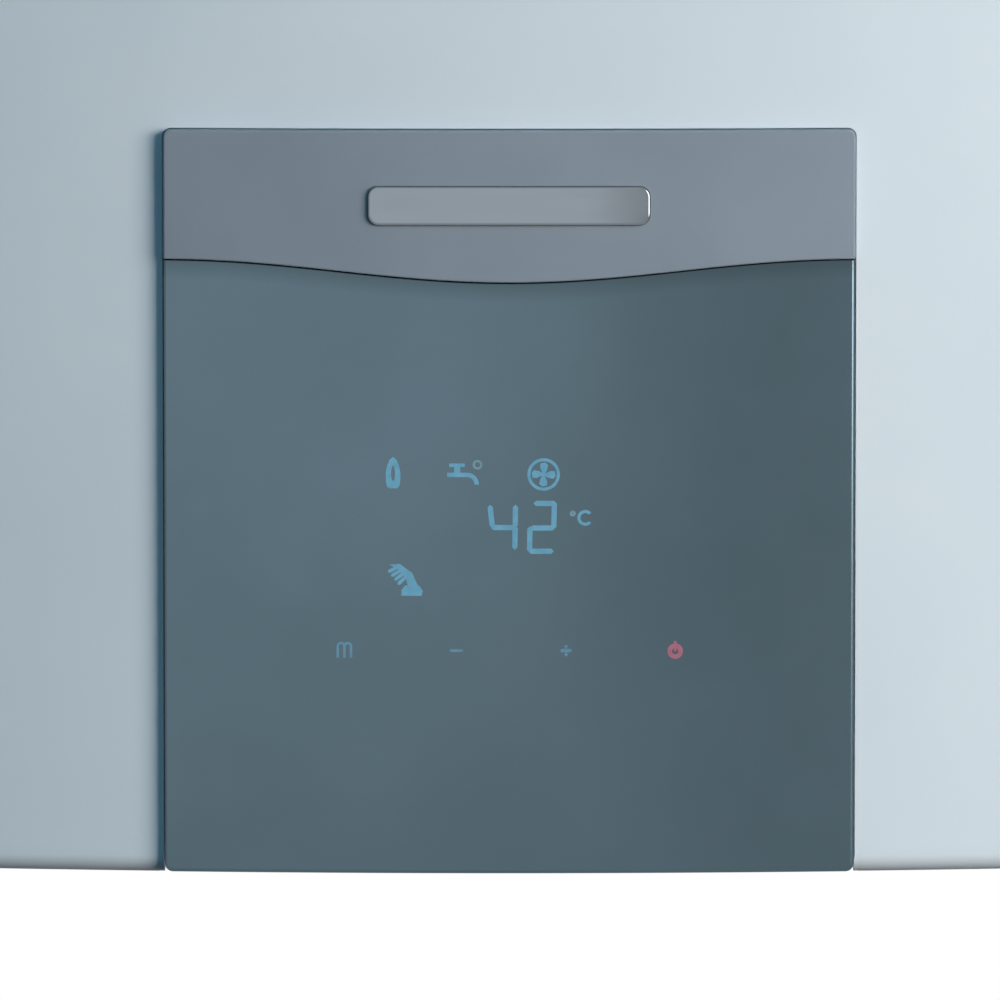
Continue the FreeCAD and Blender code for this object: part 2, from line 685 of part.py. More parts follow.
def badge_plate():
    """Blank plate on the trim band."""
    middle = PANEL_HEIGHT - BADGE_DROP
    span = (middle - BADGE_HEIGHT / 2, middle + BADGE_HEIGHT / 2)
    depth = (CASE_DEPTH - BOX_DEPTH, CASE_DEPTH + 2 * TRIM_PROUD)
    bar = front_rectangle(BADGE_WIDTH / 2, span[0], span[1], BADGE_CORNER, depth)
    bar = bar.common(bowed_body(TRIM_PROUD + BADGE_PROUD)).cut(bowed_body(TRIM_PROUD + BADGE_GLUE))
    return rounded_front(bar, TRIM_PROUD + BADGE_PROUD, BADGE_PROUD / 2)


def box_screw_places():
    """Foot of each screw that holds the control box to the bottom plate."""
    x = PANEL_WIDTH / 2 - BOX_INSET - 4 * SCREW_HEAD
    return [at(side * x, BOX_BACK + 4 * SCREW_HEAD, PAN_LOW) for side in (-1, 1)]


def box_screws():
    return group(screw(base, UP, PLATE + BOX_WALL + SCREW_RADIUS) for base in box_screw_places())


def control_box():
    half = PANEL_WIDTH / 2 - BOX_INSET
    reach = CASE_DEPTH + 2 * TRIM_PROUD
    outer = front_rectangle(half, PAN_TOP, BOX_TOP, BOX_CORNER, (BOX_BACK, reach))
    inner_half = half - BOX_WALL
    inner_corner = max(BOX_CORNER - BOX_WALL, BOX_WALL / 2)
    inner_depth = (BOX_BACK + BOX_WALL, reach + CUT)
    inner = front_rectangle(inner_half, PAN_TOP + BOX_WALL, BOX_TOP - BOX_WALL, inner_corner, inner_depth)
    case = outer.cut(inner)
    length = BOX_WALL + STANDOFF
    posts = [rod(at(x, BOX_BACK, h), FORWARD, STANDOFF_RADIUS, length) for x, h in standoff_places()]
    case = join(case, *posts).common(bowed_body(-PANEL_BEHIND))
    for base in box_screw_places():
        case = case.cut(screw_hole(base, UP, PLATE + BOX_WALL))
    return case


def board_span():
    """Half width, lower and upper edge of the main board."""
    half = PANEL_WIDTH / 2 - BOX_INSET - BOX_WALL - BOARD_MARGIN
    return half, PAN_TOP + BOX_WALL + BOARD_MARGIN, BOX_TOP - BOX_WALL - BOARD_MARGIN


def standoff_places():
    half, low, high = board_span()
    edge = 2 * STANDOFF_RADIUS
    return [(x, h) for x in (edge - half, half - edge) for h in (low + edge, high - edge)]


def board_back():
    return BOX_BACK + BOX_WALL + STANDOFF


def control_board():
    half, low, high = board_span()
    return block((-half, half), (board_back(), board_back() + BOARD), (low, high))


def board_components():
    """Relays, transformer, capacitors and plug headers standing on the main board."""
    half, low, high = board_span()
    face = board_back() + BOARD
    width = 2 * half
    height = high - low

    def part(x, h, tall):
        """Block on the board between shares of its width and height."""
        spread = (-half + width * x[0], -half + width * x[1])
        return block(spread, (face, face + tall), (low + height * h[0], low + height * h[1]))

    pieces = [rounded(part((0.64, 0.90), (0.45, 0.72), CORE_TALL), 1.5)]
    for i in range(3):
        x = 0.20 + 0.16 * i
        pieces.append(rounded(part((x, x + 0.12), (0.12, 0.30), RELAY_TALL), 0.8))
    for i in range(4):
        foot = at(-half + width * (0.18 + 0.13 * i), face, low + height * 0.55)
        pieces.append(rod(foot, FORWARD, width * 0.045, CAN_TALL))
    for i in range(5):
        x = 0.16 + 0.14 * i
        pieces.append(part((x, x + 0.11), (0.84, 0.93), HEADER_TALL))
    return group(pieces)


def display_board():
    half = DISPLAY_WIDTH / 2
    front = CASE_DEPTH - DISPLAY_SETBACK
    return block((-half, half), (front - BOARD, front), (DISPLAY_LOW, DISPLAY_LOW + DISPLAY_HEIGHT))


def light_guide():
    """White block that carries the light of the display and of the keys to the glass."""
    half = DISPLAY_WIDTH / 2 - GUIDE_MARGIN
    low = DISPLAY_LOW + GUIDE_MARGIN
    high = DISPLAY_LOW + DISPLAY_HEIGHT - GUIDE_MARGIN
    solid = block((-half, half), (CASE_DEPTH - DISPLAY_SETBACK, CASE_DEPTH + TRIM_PROUD), (low, high))
    return solid.common(bowed_body(-PANEL_BEHIND - GUIDE_GAP))


def burner_frame():
    x = (-SHELL_SIDE, SHELL_SIDE)
    depth = (COLUMN_BACK, SHELL_FRONT)
    height = (BURNER_LEVEL, BURNER_TOP)
    lip = block(x, (depth[0] - LIP, depth[1] + LIP), (BURNER_TOP - BURNER_WALL, BURNER_TOP))
    wall = BURNER_WALL
    hollow = block(
        (x[0] + wall, x[1] - wall), (depth[0] + wall, depth[1] - wall), (height[0] - CUT, height[1] + CUT)
    )
    frame = join(block(x, depth, height), lip).cut(hollow)
    front = SHELL_FRONT - 2 * wall
    deep = 4 * wall
    for bar_x in BAR_XS:
        frame = frame.cut(rod(at(bar_x, front, VENTURI_LEVEL), FORWARD, VENTURI_RADIUS, deep))
    sight = at(SIGHT_X, front, BURNER_LEVEL + SIGHT_RISE)
    frame = frame.cut(rod(sight, FORWARD, SIGHT_RADIUS - wall, deep))
    for x_electrode in ELECTRODE_X:
        place = at(x_electrode, front, BURNER_TOP - ELECTRODE_DROP)
        frame = frame.cut(rod(place, FORWARD, INSULATOR_RADIUS + RUNNING_PLAY, deep))
    return frame


def burner_bars():
    """Row of hollow burner blades, each with its mixing horn at the front and flame slots on top."""
    back = COLUMN_BACK + BURNER_WALL + RUNNING_PLAY
    front = SHELL_FRONT - BURNER_WALL - RUNNING_PLAY
    low = BURNER_LEVEL + BAR_FOOT
    high = low + BAR_HEIGHT
    half = BAR_WIDTH / 2
    blade = block((-half, half), (back, front), (low, high))
    blade = rounded(blade, BAR_WIDTH * 0.3, lambda e: e.BoundBox.YLength > SHELL_DEPTH / 2)
    start = at(0, front - HORN_LENGTH, VENTURI_LEVEL)
    horn = rod(start, FORWARD, HORN_RADIUS, HORN_LENGTH)
    mouth = Part.makeCone(HORN_RADIUS * 0.55, HORN_RADIUS * 0.85, HORN_LENGTH, start, FORWARD)
    x = (BAR_SHEET - half, half - BAR_SHEET)
    hollow = block(x, (back + BAR_SHEET, front - HORN_LENGTH), (low + 3 * BAR_SHEET, high - 3 * BAR_SHEET))
    bar = join(blade, horn).cut(mouth).cut(hollow)
    step = (front - back - HORN_LENGTH) / (BAR_SLOTS + 1)
    for i in range(BAR_SLOTS):
        middle = back + step * (i + 1)
        depth = (middle - BAR_SHEET, middle + BAR_SHEET)
        bar = bar.cut(block((-half * 0.6, half * 0.6), depth, (high - 5 * BAR_SHEET, high + CUT)))
    return group(bar.translated(RIGHT * x) for x in BAR_XS)


def gas_manifold():
    """Gas tube across the burner's front, with an inlet boss below and a foot at each end."""
    reach = BAR_XS[-1] + VENTURI_RADIUS + MANIFOLD_SPARE
    axis = at(-reach, MANIFOLD_DEPTH, VENTURI_LEVEL)
    inside = MANIFOLD_RADIUS - MANIFOLD_WALL
    boss_low = VENTURI_LEVEL - MANIFOLD_RADIUS - MANIFOLD_WALL * 3
    boss_length = VENTURI_LEVEL - boss_low
    boss = rod(at(0, MANIFOLD_DEPTH, boss_low), UP, GAS_PIPE_RADIUS + MANIFOLD_WALL, boss_length)
    feet = []
    for side in (-1, 1):
        edge = sorted((side * (reach - MANIFOLD_SPARE + MANIFOLD_WALL), side * (reach - MANIFOLD_WALL)))
        feet.append(block(edge, (SHELL_FRONT, MANIFOLD_DEPTH), (VENTURI_LEVEL - 3, VENTURI_LEVEL + 3)))
    tube = join(rod(axis, RIGHT, MANIFOLD_RADIUS, 2 * reach), boss, *feet)
    bore = rod(axis + RIGHT * MANIFOLD_WALL, RIGHT, inside, 2 * (reach - MANIFOLD_WALL))
    inlet = rod(at(0, MANIFOLD_DEPTH, boss_low - CUT), UP, GAS_PIPE_RADIUS - TUBE_WALL, boss_length)
    tube = tube.cut(bore).cut(inlet)
    for x in BAR_XS:
        place = at(x, MANIFOLD_DEPTH, VENTURI_LEVEL)
        tube = tube.cut(rod(place, BACK, NOZZLE_SHANK + RUNNING_PLAY, MANIFOLD_RADIUS + CUT))
    return tube


def gas_nozzles():
    """Brass injectors screwed into the back of the manifold, each facing its mixing horn."""
    surface = MANIFOLD_DEPTH - MANIFOLD_RADIUS
    shank_foot = at(0, surface + MANIFOLD_WALL, VENTURI_LEVEL)
    shank = rod(shank_foot, BACK, NOZZLE_SHANK, MANIFOLD_WALL + NOZZLE_SEAT)
    nut = hexagon(at(0, surface - NOZZLE_SEAT, VENTURI_LEVEL), BACK, NOZZLE_FLATS, NOZZLE_NUT)
    tip_foot = at(0, surface - NOZZLE_SEAT - NOZZLE_NUT, VENTURI_LEVEL)
    tip = Part.makeCone(NOZZLE_SHANK, NOZZLE_SHANK * 0.5, NOZZLE_TIP, tip_foot, BACK)
    drilled = 2 * MANIFOLD_WALL + NOZZLE_SEAT + NOZZLE_NUT + NOZZLE_TIP + CUT
    hole = rod(at(0, surface + 2 * MANIFOLD_WALL, VENTURI_LEVEL), BACK, NOZZLE_SHANK * 0.25, drilled)
    nozzle = join(shank, nut, tip).cut(hole)
    return group(nozzle.translated(RIGHT * x) for x in BAR_XS)


def sight_place():
    return at(SIGHT_X, SHELL_FRONT, BURNER_LEVEL + SIGHT_RISE)


def sight_frame():
    """Ring that holds the flame window on the burner's front."""
    outer = rounded(rod(sight_place(), FORWARD, SIGHT_RADIUS + 4, 5), 0.8)
    seat = rod(sight_place(), FORWARD, SIGHT_RADIUS + RUNNING_PLAY, 3)
    return outer.cut(seat).cut(rod(sight_place(), FORWARD, SIGHT_RADIUS - 2, 6))


def sight_glass():
    return rod(sight_place(), FORWARD, SIGHT_RADIUS, 3 - RUNNING_PLAY)


def electrode_insulators():
    pieces = []
    level = BURNER_TOP - ELECTRODE_DROP
    for x in ELECTRODE_X:
        nose = at(x, SHELL_FRONT - INSULATOR_NOSE, level)
        length = INSULATOR_NOSE + INSULATOR_TAIL
        stem = rod(nose, FORWARD, INSULATOR_RADIUS, length)
        collar = rod(at(x, SHELL_FRONT, level), FORWARD, INSULATOR_COLLAR, 5)
        bore = rod(nose - FORWARD * CUT, FORWARD, ROD_RADIUS + RUNNING_PLAY, length + 2 * CUT)
        pieces.append(join(stem, rounded(collar, 1)).cut(bore))
    return group(pieces)


def ignition_electrodes():
    """Two spark rods and one flame-sensing rod, bent over the burner blades."""
    pieces = []
    level = BURNER_TOP - ELECTRODE_DROP
    for x in ELECTRODE_X:
        points = [at(x, SHELL_FRONT + INSULATOR_TAIL, level)]
        points.append(at(x, SHELL_FRONT - 2 * INSULATOR_NOSE, level))
        points.append(points[1] + BACK * INSULATOR_NOSE + UP * (INSULATOR_NOSE / 2))
        pieces.append(pipe(points, 4 * ROD_RADIUS, ROD_RADIUS))
    return group(pieces)


def ignition_transformer():
    low = BURNER_LEVEL + BAR_FOOT
    back = COIL_START_DEPTH + TUBE_RADIUS + 6
    x = (SHELL_SIDE, SHELL_SIDE + SPARK_WIDTH)
    body = block(x, (back, back + SPARK_DEPTH), (low, low + SPARK_HEIGHT))
    return rounded(body, 3, lambda e: abs(e.CenterOfMass.x - x[0]) > 1e-3)


def spark_outlets():
    """Where the two ignition leads leave the transformer."""
    low = BURNER_LEVEL + BAR_FOOT
    front = COIL_START_DEPTH + TUBE_RADIUS + 6 + SPARK_DEPTH
    return [at(SHELL_SIDE + SPARK_WIDTH / 2, front, low + SPARK_HEIGHT * share) for share in (0.75, 0.35)]


def ignition_leads():
    """Two spark leads to the transformer and the flame sensor's lead to the control box."""
    level = BURNER_TOP - ELECTRODE_DROP
    tail = SHELL_FRONT + INSULATOR_TAIL
    front = MANIFOLD_DEPTH + MANIFOLD_RADIUS + CABLE_BEND + LEAD_RADIUS
    sensor = ELECTRODE_X[0]
    points = [at(sensor, tail, level), at(sensor, front, level), at(sensor, front, BOX_TOP)]
    leads = [pipe(points, CABLE_BEND, LEAD_RADIUS)]
    for number, (x, outlet) in enumerate(zip(ELECTRODE_X[1:], spark_outlets())):
        reach = front + 4 * LEAD_RADIUS * (1 - number)
        points = [outlet, Vector(outlet.x, -reach, outlet.z), at(x, reach, level), at(x, tail, level)]
        leads.append(pipe(points, CABLE_BEND - 2 * number, LEAD_RADIUS))
    return group(leads)


def mounting_brackets():
    """Channels that carry the burner and the hood on the back plate, and the angle for the gas valve."""
    pieces = []
    width = 30.0
    spread = SHELL_SIDE - width
    spans = ((BURNER_LEVEL + 10, BURNER_LEVEL + 70), (HOOD_LEVEL + 40, HOOD_LEVEL + 100))
    for x in (-spread, spread - width):
        for low, high in spans:
            channel = block((x, x + width), (PLATE, COLUMN_BACK), (low, high))
            inside = (x + PLATE, x + width - PLATE)
            hollow = block(inside, (PLATE, COLUMN_BACK - PLATE), (low - CUT, high + CUT))
            pieces.append(channel.cut(hollow))
    return group(pieces + [valve_bracket()])


def column_box(inset, low, high, corner):
    """Upright box in the plan of the combustion column, with rounded corners."""
    x = (inset - SHELL_SIDE, SHELL_SIDE - inset)
    box = block(x, (COLUMN_BACK + inset, SHELL_FRONT - inset), (low, high))
    return rounded(box, corner, lambda e: e.BoundBox.ZLength > (high - low) / 2)


def exchanger_shell():
    wall = SHELL_WALL
    x = (-SHELL_SIDE, SHELL_SIDE)
    depth = (COLUMN_BACK - LIP, SHELL_FRONT + LIP)
    lips = [block(x, depth, (low, low + wall)) for low in (BURNER_TOP, HOOD_LEVEL - wall)]
    hollow = column_box(wall, BURNER_TOP - CUT, HOOD_LEVEL + CUT, SHELL_CORNER - wall)
    shell = join(column_box(0, BURNER_TOP, HOOD_LEVEL, SHELL_CORNER), *lips).cut(hollow)
    for tube in FIN_TUBE_DEPTHS:
        start = at(-SHELL_SIDE - CUT, tube, FIN_MIDDLE)
        shell = shell.cut(rod(start, RIGHT, FIN_TUBE_RADIUS + RUNNING_PLAY, SHELL_WIDTH + 2 * CUT))
    return shell


def exchanger_fins():
    inside = SHELL_WALL + FIN_SIDE_GAP
    depth = (COLUMN_BACK + inside, SHELL_FRONT - inside)
    fin = block((0, FIN_SHEET), depth, (FIN_LOW, FIN_TOP))
    hole = FIN_TUBE_RADIUS + RUNNING_PLAY
    for tube in FIN_TUBE_DEPTHS:
        fin = fin.cut(rod(at(-CUT, tube, FIN_MIDDLE), RIGHT, hole, FIN_SHEET + 2 * CUT))
    room = SHELL_WIDTH - 2 * SHELL_CORNER
    count = int(room / FIN_PITCH) + 1
    first = -FIN_PITCH * (count - 1) / 2 - FIN_SHEET / 2
    return group(fin.translated(RIGHT * (first + FIN_PITCH * i)) for i in range(count))


def exchanger_tubes():
    """Serpentine of straight tubes through the fins, with return bends outside the shell."""
    bend = FIN_TUBE_STEP / 2
    end = SHELL_SIDE + TUBE_STUB + bend
    points = [at(-SHELL_SIDE - TUBE_STUB, FIN_TUBE_DEPTHS[0], FIN_MIDDLE)]
    side = 1
    for near, far in zip(FIN_TUBE_DEPTHS, FIN_TUBE_DEPTHS[1:]):
        points += [at(side * end, near, FIN_MIDDLE), at(side * end, far, FIN_MIDDLE)]
        side = -side
    points.append(at(side * (SHELL_SIDE + TUBE_STUB), FIN_TUBE_DEPTHS[-1], FIN_MIDDLE))
    return pipe(points, bend, FIN_TUBE_RADIUS, FIN_TUBE_RADIUS - TUBE_WALL)


def shell_coil():
    """Copper tube that climbs round the shell and enters the first exchanger tube."""
    front = SHELL_FRONT + COIL_GAP + TUBE_RADIUS
    back = COLUMN_BACK - COIL_GAP - TUBE_RADIUS
    low = BURNER_TOP + COIL_MARGIN
    high = FIN_LOW - COIL_MARGIN
    loop = [(COIL_X, front), (-COIL_X, front), (-COIL_X, back), (COIL_X, back)]
    corners = loop + loop[:2]
    rise = (high - low) / (len(corners) + 1)
    points = [at(COIL_X, COIL_START_DEPTH, BURNER_TOP - TUBE_BEND), at(COIL_X, COIL_START_DEPTH, low)]
    for number, (x, depth) in enumerate(corners):
        points.append(at(x, depth, low + rise * (number + 1)))
    riser = -SHELL_SIDE - RISER_OFFSET
    entry = FIN_TUBE_DEPTHS[0]
    points += [at(riser, entry, high), at(riser, entry, FIN_MIDDLE)]
    points.append(at(-SHELL_SIDE - TUBE_STUB, entry, FIN_MIDDLE))
    return pipe(points, TUBE_BEND, TUBE_RADIUS, TUBE_RADIUS - TUBE_WALL)


def cold_pipe():
    points = [
        at(WATER_X, WATER_DEPTH, SERVO_TOP),
        at(WATER_X, WATER_DEPTH, SERVO_TOP + 2 * TUBE_BEND),
        at(COIL_X, COIL_START_DEPTH, SERVO_TOP + 4 * TUBE_BEND),
        at(COIL_X, COIL_START_DEPTH, BURNER_TOP - TUBE_BEND),
    ]
    return pipe(points, TUBE_BEND, TUBE_RADIUS, TUBE_RADIUS - TUBE_WALL)


def hot_pipe():
    last = FIN_TUBE_DEPTHS[-1]
    x = -SHELL_SIDE - HOT_PIPE_OFFSET
    points = [
        at(-SHELL_SIDE - TUBE_STUB, last, FIN_MIDDLE),
        at(x, last, FIN_MIDDLE),
        at(x, last, BURNER_LEVEL),
        at(-WATER_X, WATER_DEPTH, BURNER_LEVEL - 6 * TUBE_BEND),
        at(-WATER_X, WATER_DEPTH, FITTING_TOP),
    ]
    return pipe(points, TUBE_BEND, TUBE_RADIUS, TUBE_RADIUS - TUBE_WALL)


def flue_hood():
    profile = [
        (COLUMN_BACK, HOOD_LEVEL),
        (SHELL_FRONT, HOOD_LEVEL),
        (SHELL_FRONT, HOOD_LEVEL + HOOD_SKIRT),
        (NECK_DEPTH, SCROLL_BOTTOM - HOOD_SKIRT),
        (NECK_DEPTH, HOOD_TOP),
        (COLUMN_BACK, HOOD_TOP),
    ]
    sheet = HOOD_SHEET
    outline = Part.makePolygon([at(-SHELL_SIDE, d, h) for d, h in profile + profile[:1]])
    outer = Part.Face(outline).extrude(RIGHT * SHELL_WIDTH)
    inner = Part.Face(Part.Face(outline).makeOffset2D(-sheet).OuterWire)
    inner = inner.translated(RIGHT * sheet).extrude(RIGHT * (SHELL_WIDTH - 2 * sheet))
    lip = block(
        (-SHELL_SIDE, SHELL_SIDE), (COLUMN_BACK - LIP, SHELL_FRONT + LIP), (HOOD_LEVEL, HOOD_LEVEL + sheet)
    )
    mouth = block(
        (sheet - SHELL_SIDE, SHELL_SIDE - sheet),
        (COLUMN_BACK + sheet, SHELL_FRONT - sheet),
        (HOOD_LEVEL - CUT, HOOD_LEVEL + 2 * sheet),
    )
    inlet = rod(at(FAN_X, NECK_DEPTH - 2 * sheet, FAN_LEVEL), FORWARD, FAN_INLET, 4 * sheet)
    return join(outer, lip).cut(inner).cut(mouth).cut(inlet)


def scroll_outline(inset):
    """Fan scroll seen from the front: three quarter arcs that grow, then the straight outlet duct."""
    x = SCROLL_X
    level = SCROLL_LEVEL
    step = SCROLL_STEP
    radii = [SCROLL_RADIUS + step * i - inset for i in range(3)]
    centres = [(x, level), (x + step, level), (x + step, level + step)]

    def on_arc(number, degrees):
        angle = math.radians(degrees)
        centre = centres[number]
        radius = radii[number]
        return at(centre[0] + radius * math.cos(angle), NECK_DEPTH, centre[1] + radius * math.sin(angle))

    edges = []
    for number in range(3):
        start = 90 * (number + 1)
        edges.append(Part.Arc(*[on_arc(number, start + turn) for turn in (0, 45, 90)]).toShape())
    first = on_arc(0, 90)
    last = on_arc(2, 360)
    duct_right = at(DUCT_WIDTH / 2 + SCROLL_SHEET - inset, NECK_DEPTH, SCROLL_TOP)
    duct_left = at(-DUCT_WIDTH / 2 - SCROLL_SHEET + inset, NECK_DEPTH, SCROLL_TOP)
    tongue = Vector(duct_left.x, duct_left.y, first.z)
    corners = [last, duct_right, duct_left, tongue, first]
    for start, end in zip(corners, corners[1:]):
        edges.append(Part.LineSegment(start, end).toShape())
    return Part.Face(Part.Wire(edges))


def fan_housing():
    outer = scroll_outline(0).extrude(FORWARD * SCROLL_DEPTH)
    depth = SCROLL_DEPTH - 2 * SCROLL_SHEET
    inner = scroll_outline(SCROLL_SHEET).translated(FORWARD * SCROLL_SHEET).extrude(FORWARD * depth)
    half = DUCT_WIDTH / 2
    sheet = SCROLL_SHEET
    duct = (NECK_DEPTH + sheet, SCROLL_FRONT - sheet)
    mouth = block((-half, half), duct, (SCROLL_TOP - 2 * sheet, SCROLL_TOP + CUT))
    inlet = rod(at(FAN_X, NECK_DEPTH - CUT, FAN_LEVEL), FORWARD, FAN_INLET, sheet + 2 * CUT)
    opening = rod(at(FAN_X, SCROLL_FRONT - 2 * sheet, FAN_LEVEL), FORWARD, MOTOR_OPENING, 4 * sheet)
    housing = outer.cut(inner).cut(mouth).cut(inlet).cut(opening)
    side = half + sheet
    level = SCROLL_TOP - DUCT_RISE
    pad_depth = (FLUE_DEPTH - TAP_PAD_DEPTH / 2, FLUE_DEPTH + TAP_PAD_DEPTH / 2)
    pad_level = (level - TAP_PAD_HEIGHT / 2, level + TAP_PAD_HEIGHT / 2)
    pad = block((side, side + TAP_PAD), pad_depth, pad_level)
    housing = join(housing, pad, *[rod(tap_place(i), RIGHT, HOSE_BORE, TAP_LENGTH) for i in range(2)])
    for number in range(2):
        start = tap_place(number) - RIGHT * (TAP_PAD + sheet + CUT)
        housing = housing.cut(rod(start, RIGHT, HOSE_BORE / 2, TAP_PAD + sheet + TAP_LENGTH + 2 * CUT))
    return housing


def tap_place(number):
    """Foot of a pressure nipple on the side of the outlet duct."""
    offset = TAP_OFFSET if number == 0 else -TAP_OFFSET
    return at(DUCT_WIDTH / 2 + SCROLL_SHEET + TAP_PAD, FLUE_DEPTH + offset, SCROLL_TOP - DUCT_RISE)


def fan_impeller():
    """Wheel with forward blades between a disc and a ring, on the motor's shaft."""
    back = NECK_DEPTH + SCROLL_SHEET + IMPELLER_PLAY
    front = SCROLL_FRONT - SCROLL_SHEET - IMPELLER_PLAY
    disc = rod(at(FAN_X, front - IMPELLER_SHEET, FAN_LEVEL), FORWARD, IMPELLER_RADIUS, IMPELLER_SHEET)
    inner = IMPELLER_RADIUS - BLADE_LENGTH
    shroud = ring(at(FAN_X, back, FAN_LEVEL), FORWARD, IMPELLER_RADIUS, inner, IMPELLER_SHEET)
    hub = rod(at(FAN_X, front - 4 * IMPELLER_SHEET, FAN_LEVEL), FORWARD, HUB_RADIUS, 4 * IMPELLER_SHEET)
    shaft_length = MOTOR_STANDOFF + MOTOR_LENGTH * 0.6 + SCROLL_FRONT - front
    shaft = rod(at(FAN_X, front - 2 * IMPELLER_SHEET, FAN_LEVEL), FORWARD, SHAFT_RADIUS, shaft_length)
    axis = at(FAN_X, back, FAN_LEVEL)
    reach = IMPELLER_RADIUS - BLADE_LENGTH * 0.55
    blade = block(
        (FAN_X + reach - BLADE_LENGTH / 2, FAN_X + reach + BLADE_LENGTH / 2),
        (back, front),
        (FAN_LEVEL - BLADE_SHEET / 2, FAN_LEVEL + BLADE_SHEET / 2),
    )
    blade = blade.rotated(at(FAN_X + reach, back, FAN_LEVEL), FORWARD, BLADE_ANGLE)
    blades = [blade.rotated(axis, FORWARD, 360.0 / IMPELLER_BLADES * i) for i in range(IMPELLER_BLADES)]
    return join(disc, shroud, hub, shaft, *blades)


def fan_motor():
    base = at(FAN_X, SCROLL_FRONT, FAN_LEVEL)
    body_start = base + FORWARD * MOTOR_STANDOFF
    body = rounded(rod(body_start, FORWARD, MOTOR_RADIUS, MOTOR_LENGTH), 4)
    flange = rod(base, FORWARD, MOTOR_FLANGE, SCROLL_SHEET)
    posts = []
    for i in range(3):
        angle = math.radians(90 + 120 * i)
        offset = RIGHT * (math.cos(angle) * MOTOR_RADIUS * 0.8) + UP * (math.sin(angle) * MOTOR_RADIUS * 0.8)
        posts.append(rod(base + offset, FORWARD, 4, MOTOR_STANDOFF * 2))
    bore_length = MOTOR_STANDOFF + MOTOR_LENGTH * 0.7
    bore = rod(base - FORWARD * CUT, FORWARD, SHAFT_RADIUS + RUNNING_PLAY, bore_length)
    return join(body, flange, *posts).cut(bore)


def flue_spigot():
    """Flue connection: a plate on the fan's outlet with the socket for the flue pipe."""
    half = DUCT_WIDTH / 2 + SCROLL_SHEET + OUTLET_MARGIN
    depth = (NECK_DEPTH - OUTLET_MARGIN * 2, SCROLL_FRONT + OUTLET_MARGIN * 2)
    plate = block((-half, half), depth, (SCROLL_TOP, OUTLET_LEVEL))
    opening = SCROLL_DEPTH / 2 - SCROLL_SHEET
    hole = rod(at(0, FLUE_DEPTH, SCROLL_TOP - CUT), UP, opening, OUTLET_PLATE + 2 * CUT)
    length = CASE_HEIGHT + FLUE_RISE - OUTLET_LEVEL
    socket = ring(at(0, FLUE_DEPTH, OUTLET_LEVEL), UP, FLUE_RADIUS + FLUE_WALL, FLUE_RADIUS, length)
    return join(plate.cut(hole), socket)


def collar_gasket():
    gasket = ring(at(0, FLUE_DEPTH, ROOF_TOP), UP, COLLAR_FLANGE, COLLAR_RADIUS - COLLAR_WALL, GASKET)
    for base in collar_screw_places():
        gasket = gasket.cut(screw_hole(base, DOWN, GASKET + COLLAR_SHEET))
    return gasket


def air_collar():
    low = ROOF_TOP + GASKET
    bore = COLLAR_RADIUS - COLLAR_WALL
    flange = ring(at(0, FLUE_DEPTH, low), UP, COLLAR_FLANGE, bore, COLLAR_SHEET)
    tube = ring(at(0, FLUE_DEPTH, low), UP, COLLAR_RADIUS, bore, CASE_HEIGHT + COLLAR_RISE - low)
    collar = join(flange, tube)
    for base in collar_screw_places():
        collar = collar.cut(screw_hole(base, DOWN, COLLAR_SHEET))
    return collar


def collar_screw_places():
    """Underside of each screw head on the air collar's flange."""
    places = []
    for i in range(COLLAR_SCREWS):
        angle = math.radians(45 + 360.0 / COLLAR_SCREWS * i)
        x = COLLAR_SCREW_CIRCLE * math.cos(angle)
        depth = FLUE_DEPTH + COLLAR_SCREW_CIRCLE * math.sin(angle)
        places.append(at(x, depth, ROOF_TOP + GASKET + COLLAR_SHEET))
    return places


def collar_screws():
    length = GASKET + COLLAR_SHEET + PLATE + 2 * SCREW_RADIUS
    return group(screw(base, DOWN, length) for base in collar_screw_places())


def switch_place():
    return at(SWITCH_X, NECK_DEPTH, FAN_LEVEL)


def pressure_switch():
    """Air pressure switch on the hood, with two hose nipples."""
    foot = rod(switch_place(), FORWARD, SWITCH_RADIUS * 0.7, SWITCH_FOOT)
    start = switch_place() + FORWARD * SWITCH_FOOT
    body = rounded(rod(start, FORWARD, SWITCH_RADIUS, SWITCH_BODY), 2)
    edge = (SWITCH_RADIUS + SWITCH_SEAM, SWITCH_RADIUS - SWITCH_SEAM)
    seam = ring(start + FORWARD * (SWITCH_BODY * 0.4), FORWARD, *edge, SWITCH_SEAM_WIDTH)
    nipples = [rod(nipple_place(i), FORWARD, HOSE_BORE, NIPPLE_LENGTH) for i in range(2)]
    return join(foot, body, seam, *nipples)


def nipple_place(number):
    """Foot of a hose nipple on the face of the pressure switch."""
    return switch_place() + FORWARD * (SWITCH_FOOT + SWITCH_BODY) + RIGHT * NIPPLE_OFFSETS[number]


def pressure_hoses():
    """Two silicone hoses between the duct and the pressure switch."""
    hoses = []
    for number in range(2):
        start = tap_place(number)
        end = nipple_place(number)
        ahead = HOSE_LOOP + HOSE_STEP * number
        points = [start, start + RIGHT * (HOSE_OUT + HOSE_STAGGER * number)]
        points.append(Vector(points[1].x, end.y, points[1].z) + FORWARD * ahead)
        points += [end + FORWARD * ahead, end]
        hoses.append(pipe(points, HOSE_BEND, HOSE_RADIUS, HOSE_BORE))
    return group(hoses)


def stub(x, depth, top):
    """Threaded connection below the bottom plate with its hexagon and barrel above."""
    low = at(x, depth, -STUB_DROP)
    thread = rounded_end(rod(low, UP, STUB_RADIUS, STUB_THREAD), low, STUB_RADIUS - STUB_NECK)
    neck = rod(low, UP, STUB_NECK, STUB_DROP + PAN_TOP)
    nut = hexagon(at(x, depth, PAN_TOP), UP, HEX_FLATS, HEX_HEIGHT)
    barrel = rod(at(x, depth, PAN_TOP), UP, FITTING_RADIUS, top - PAN_TOP)
    return join(thread, neck, nut, barrel)


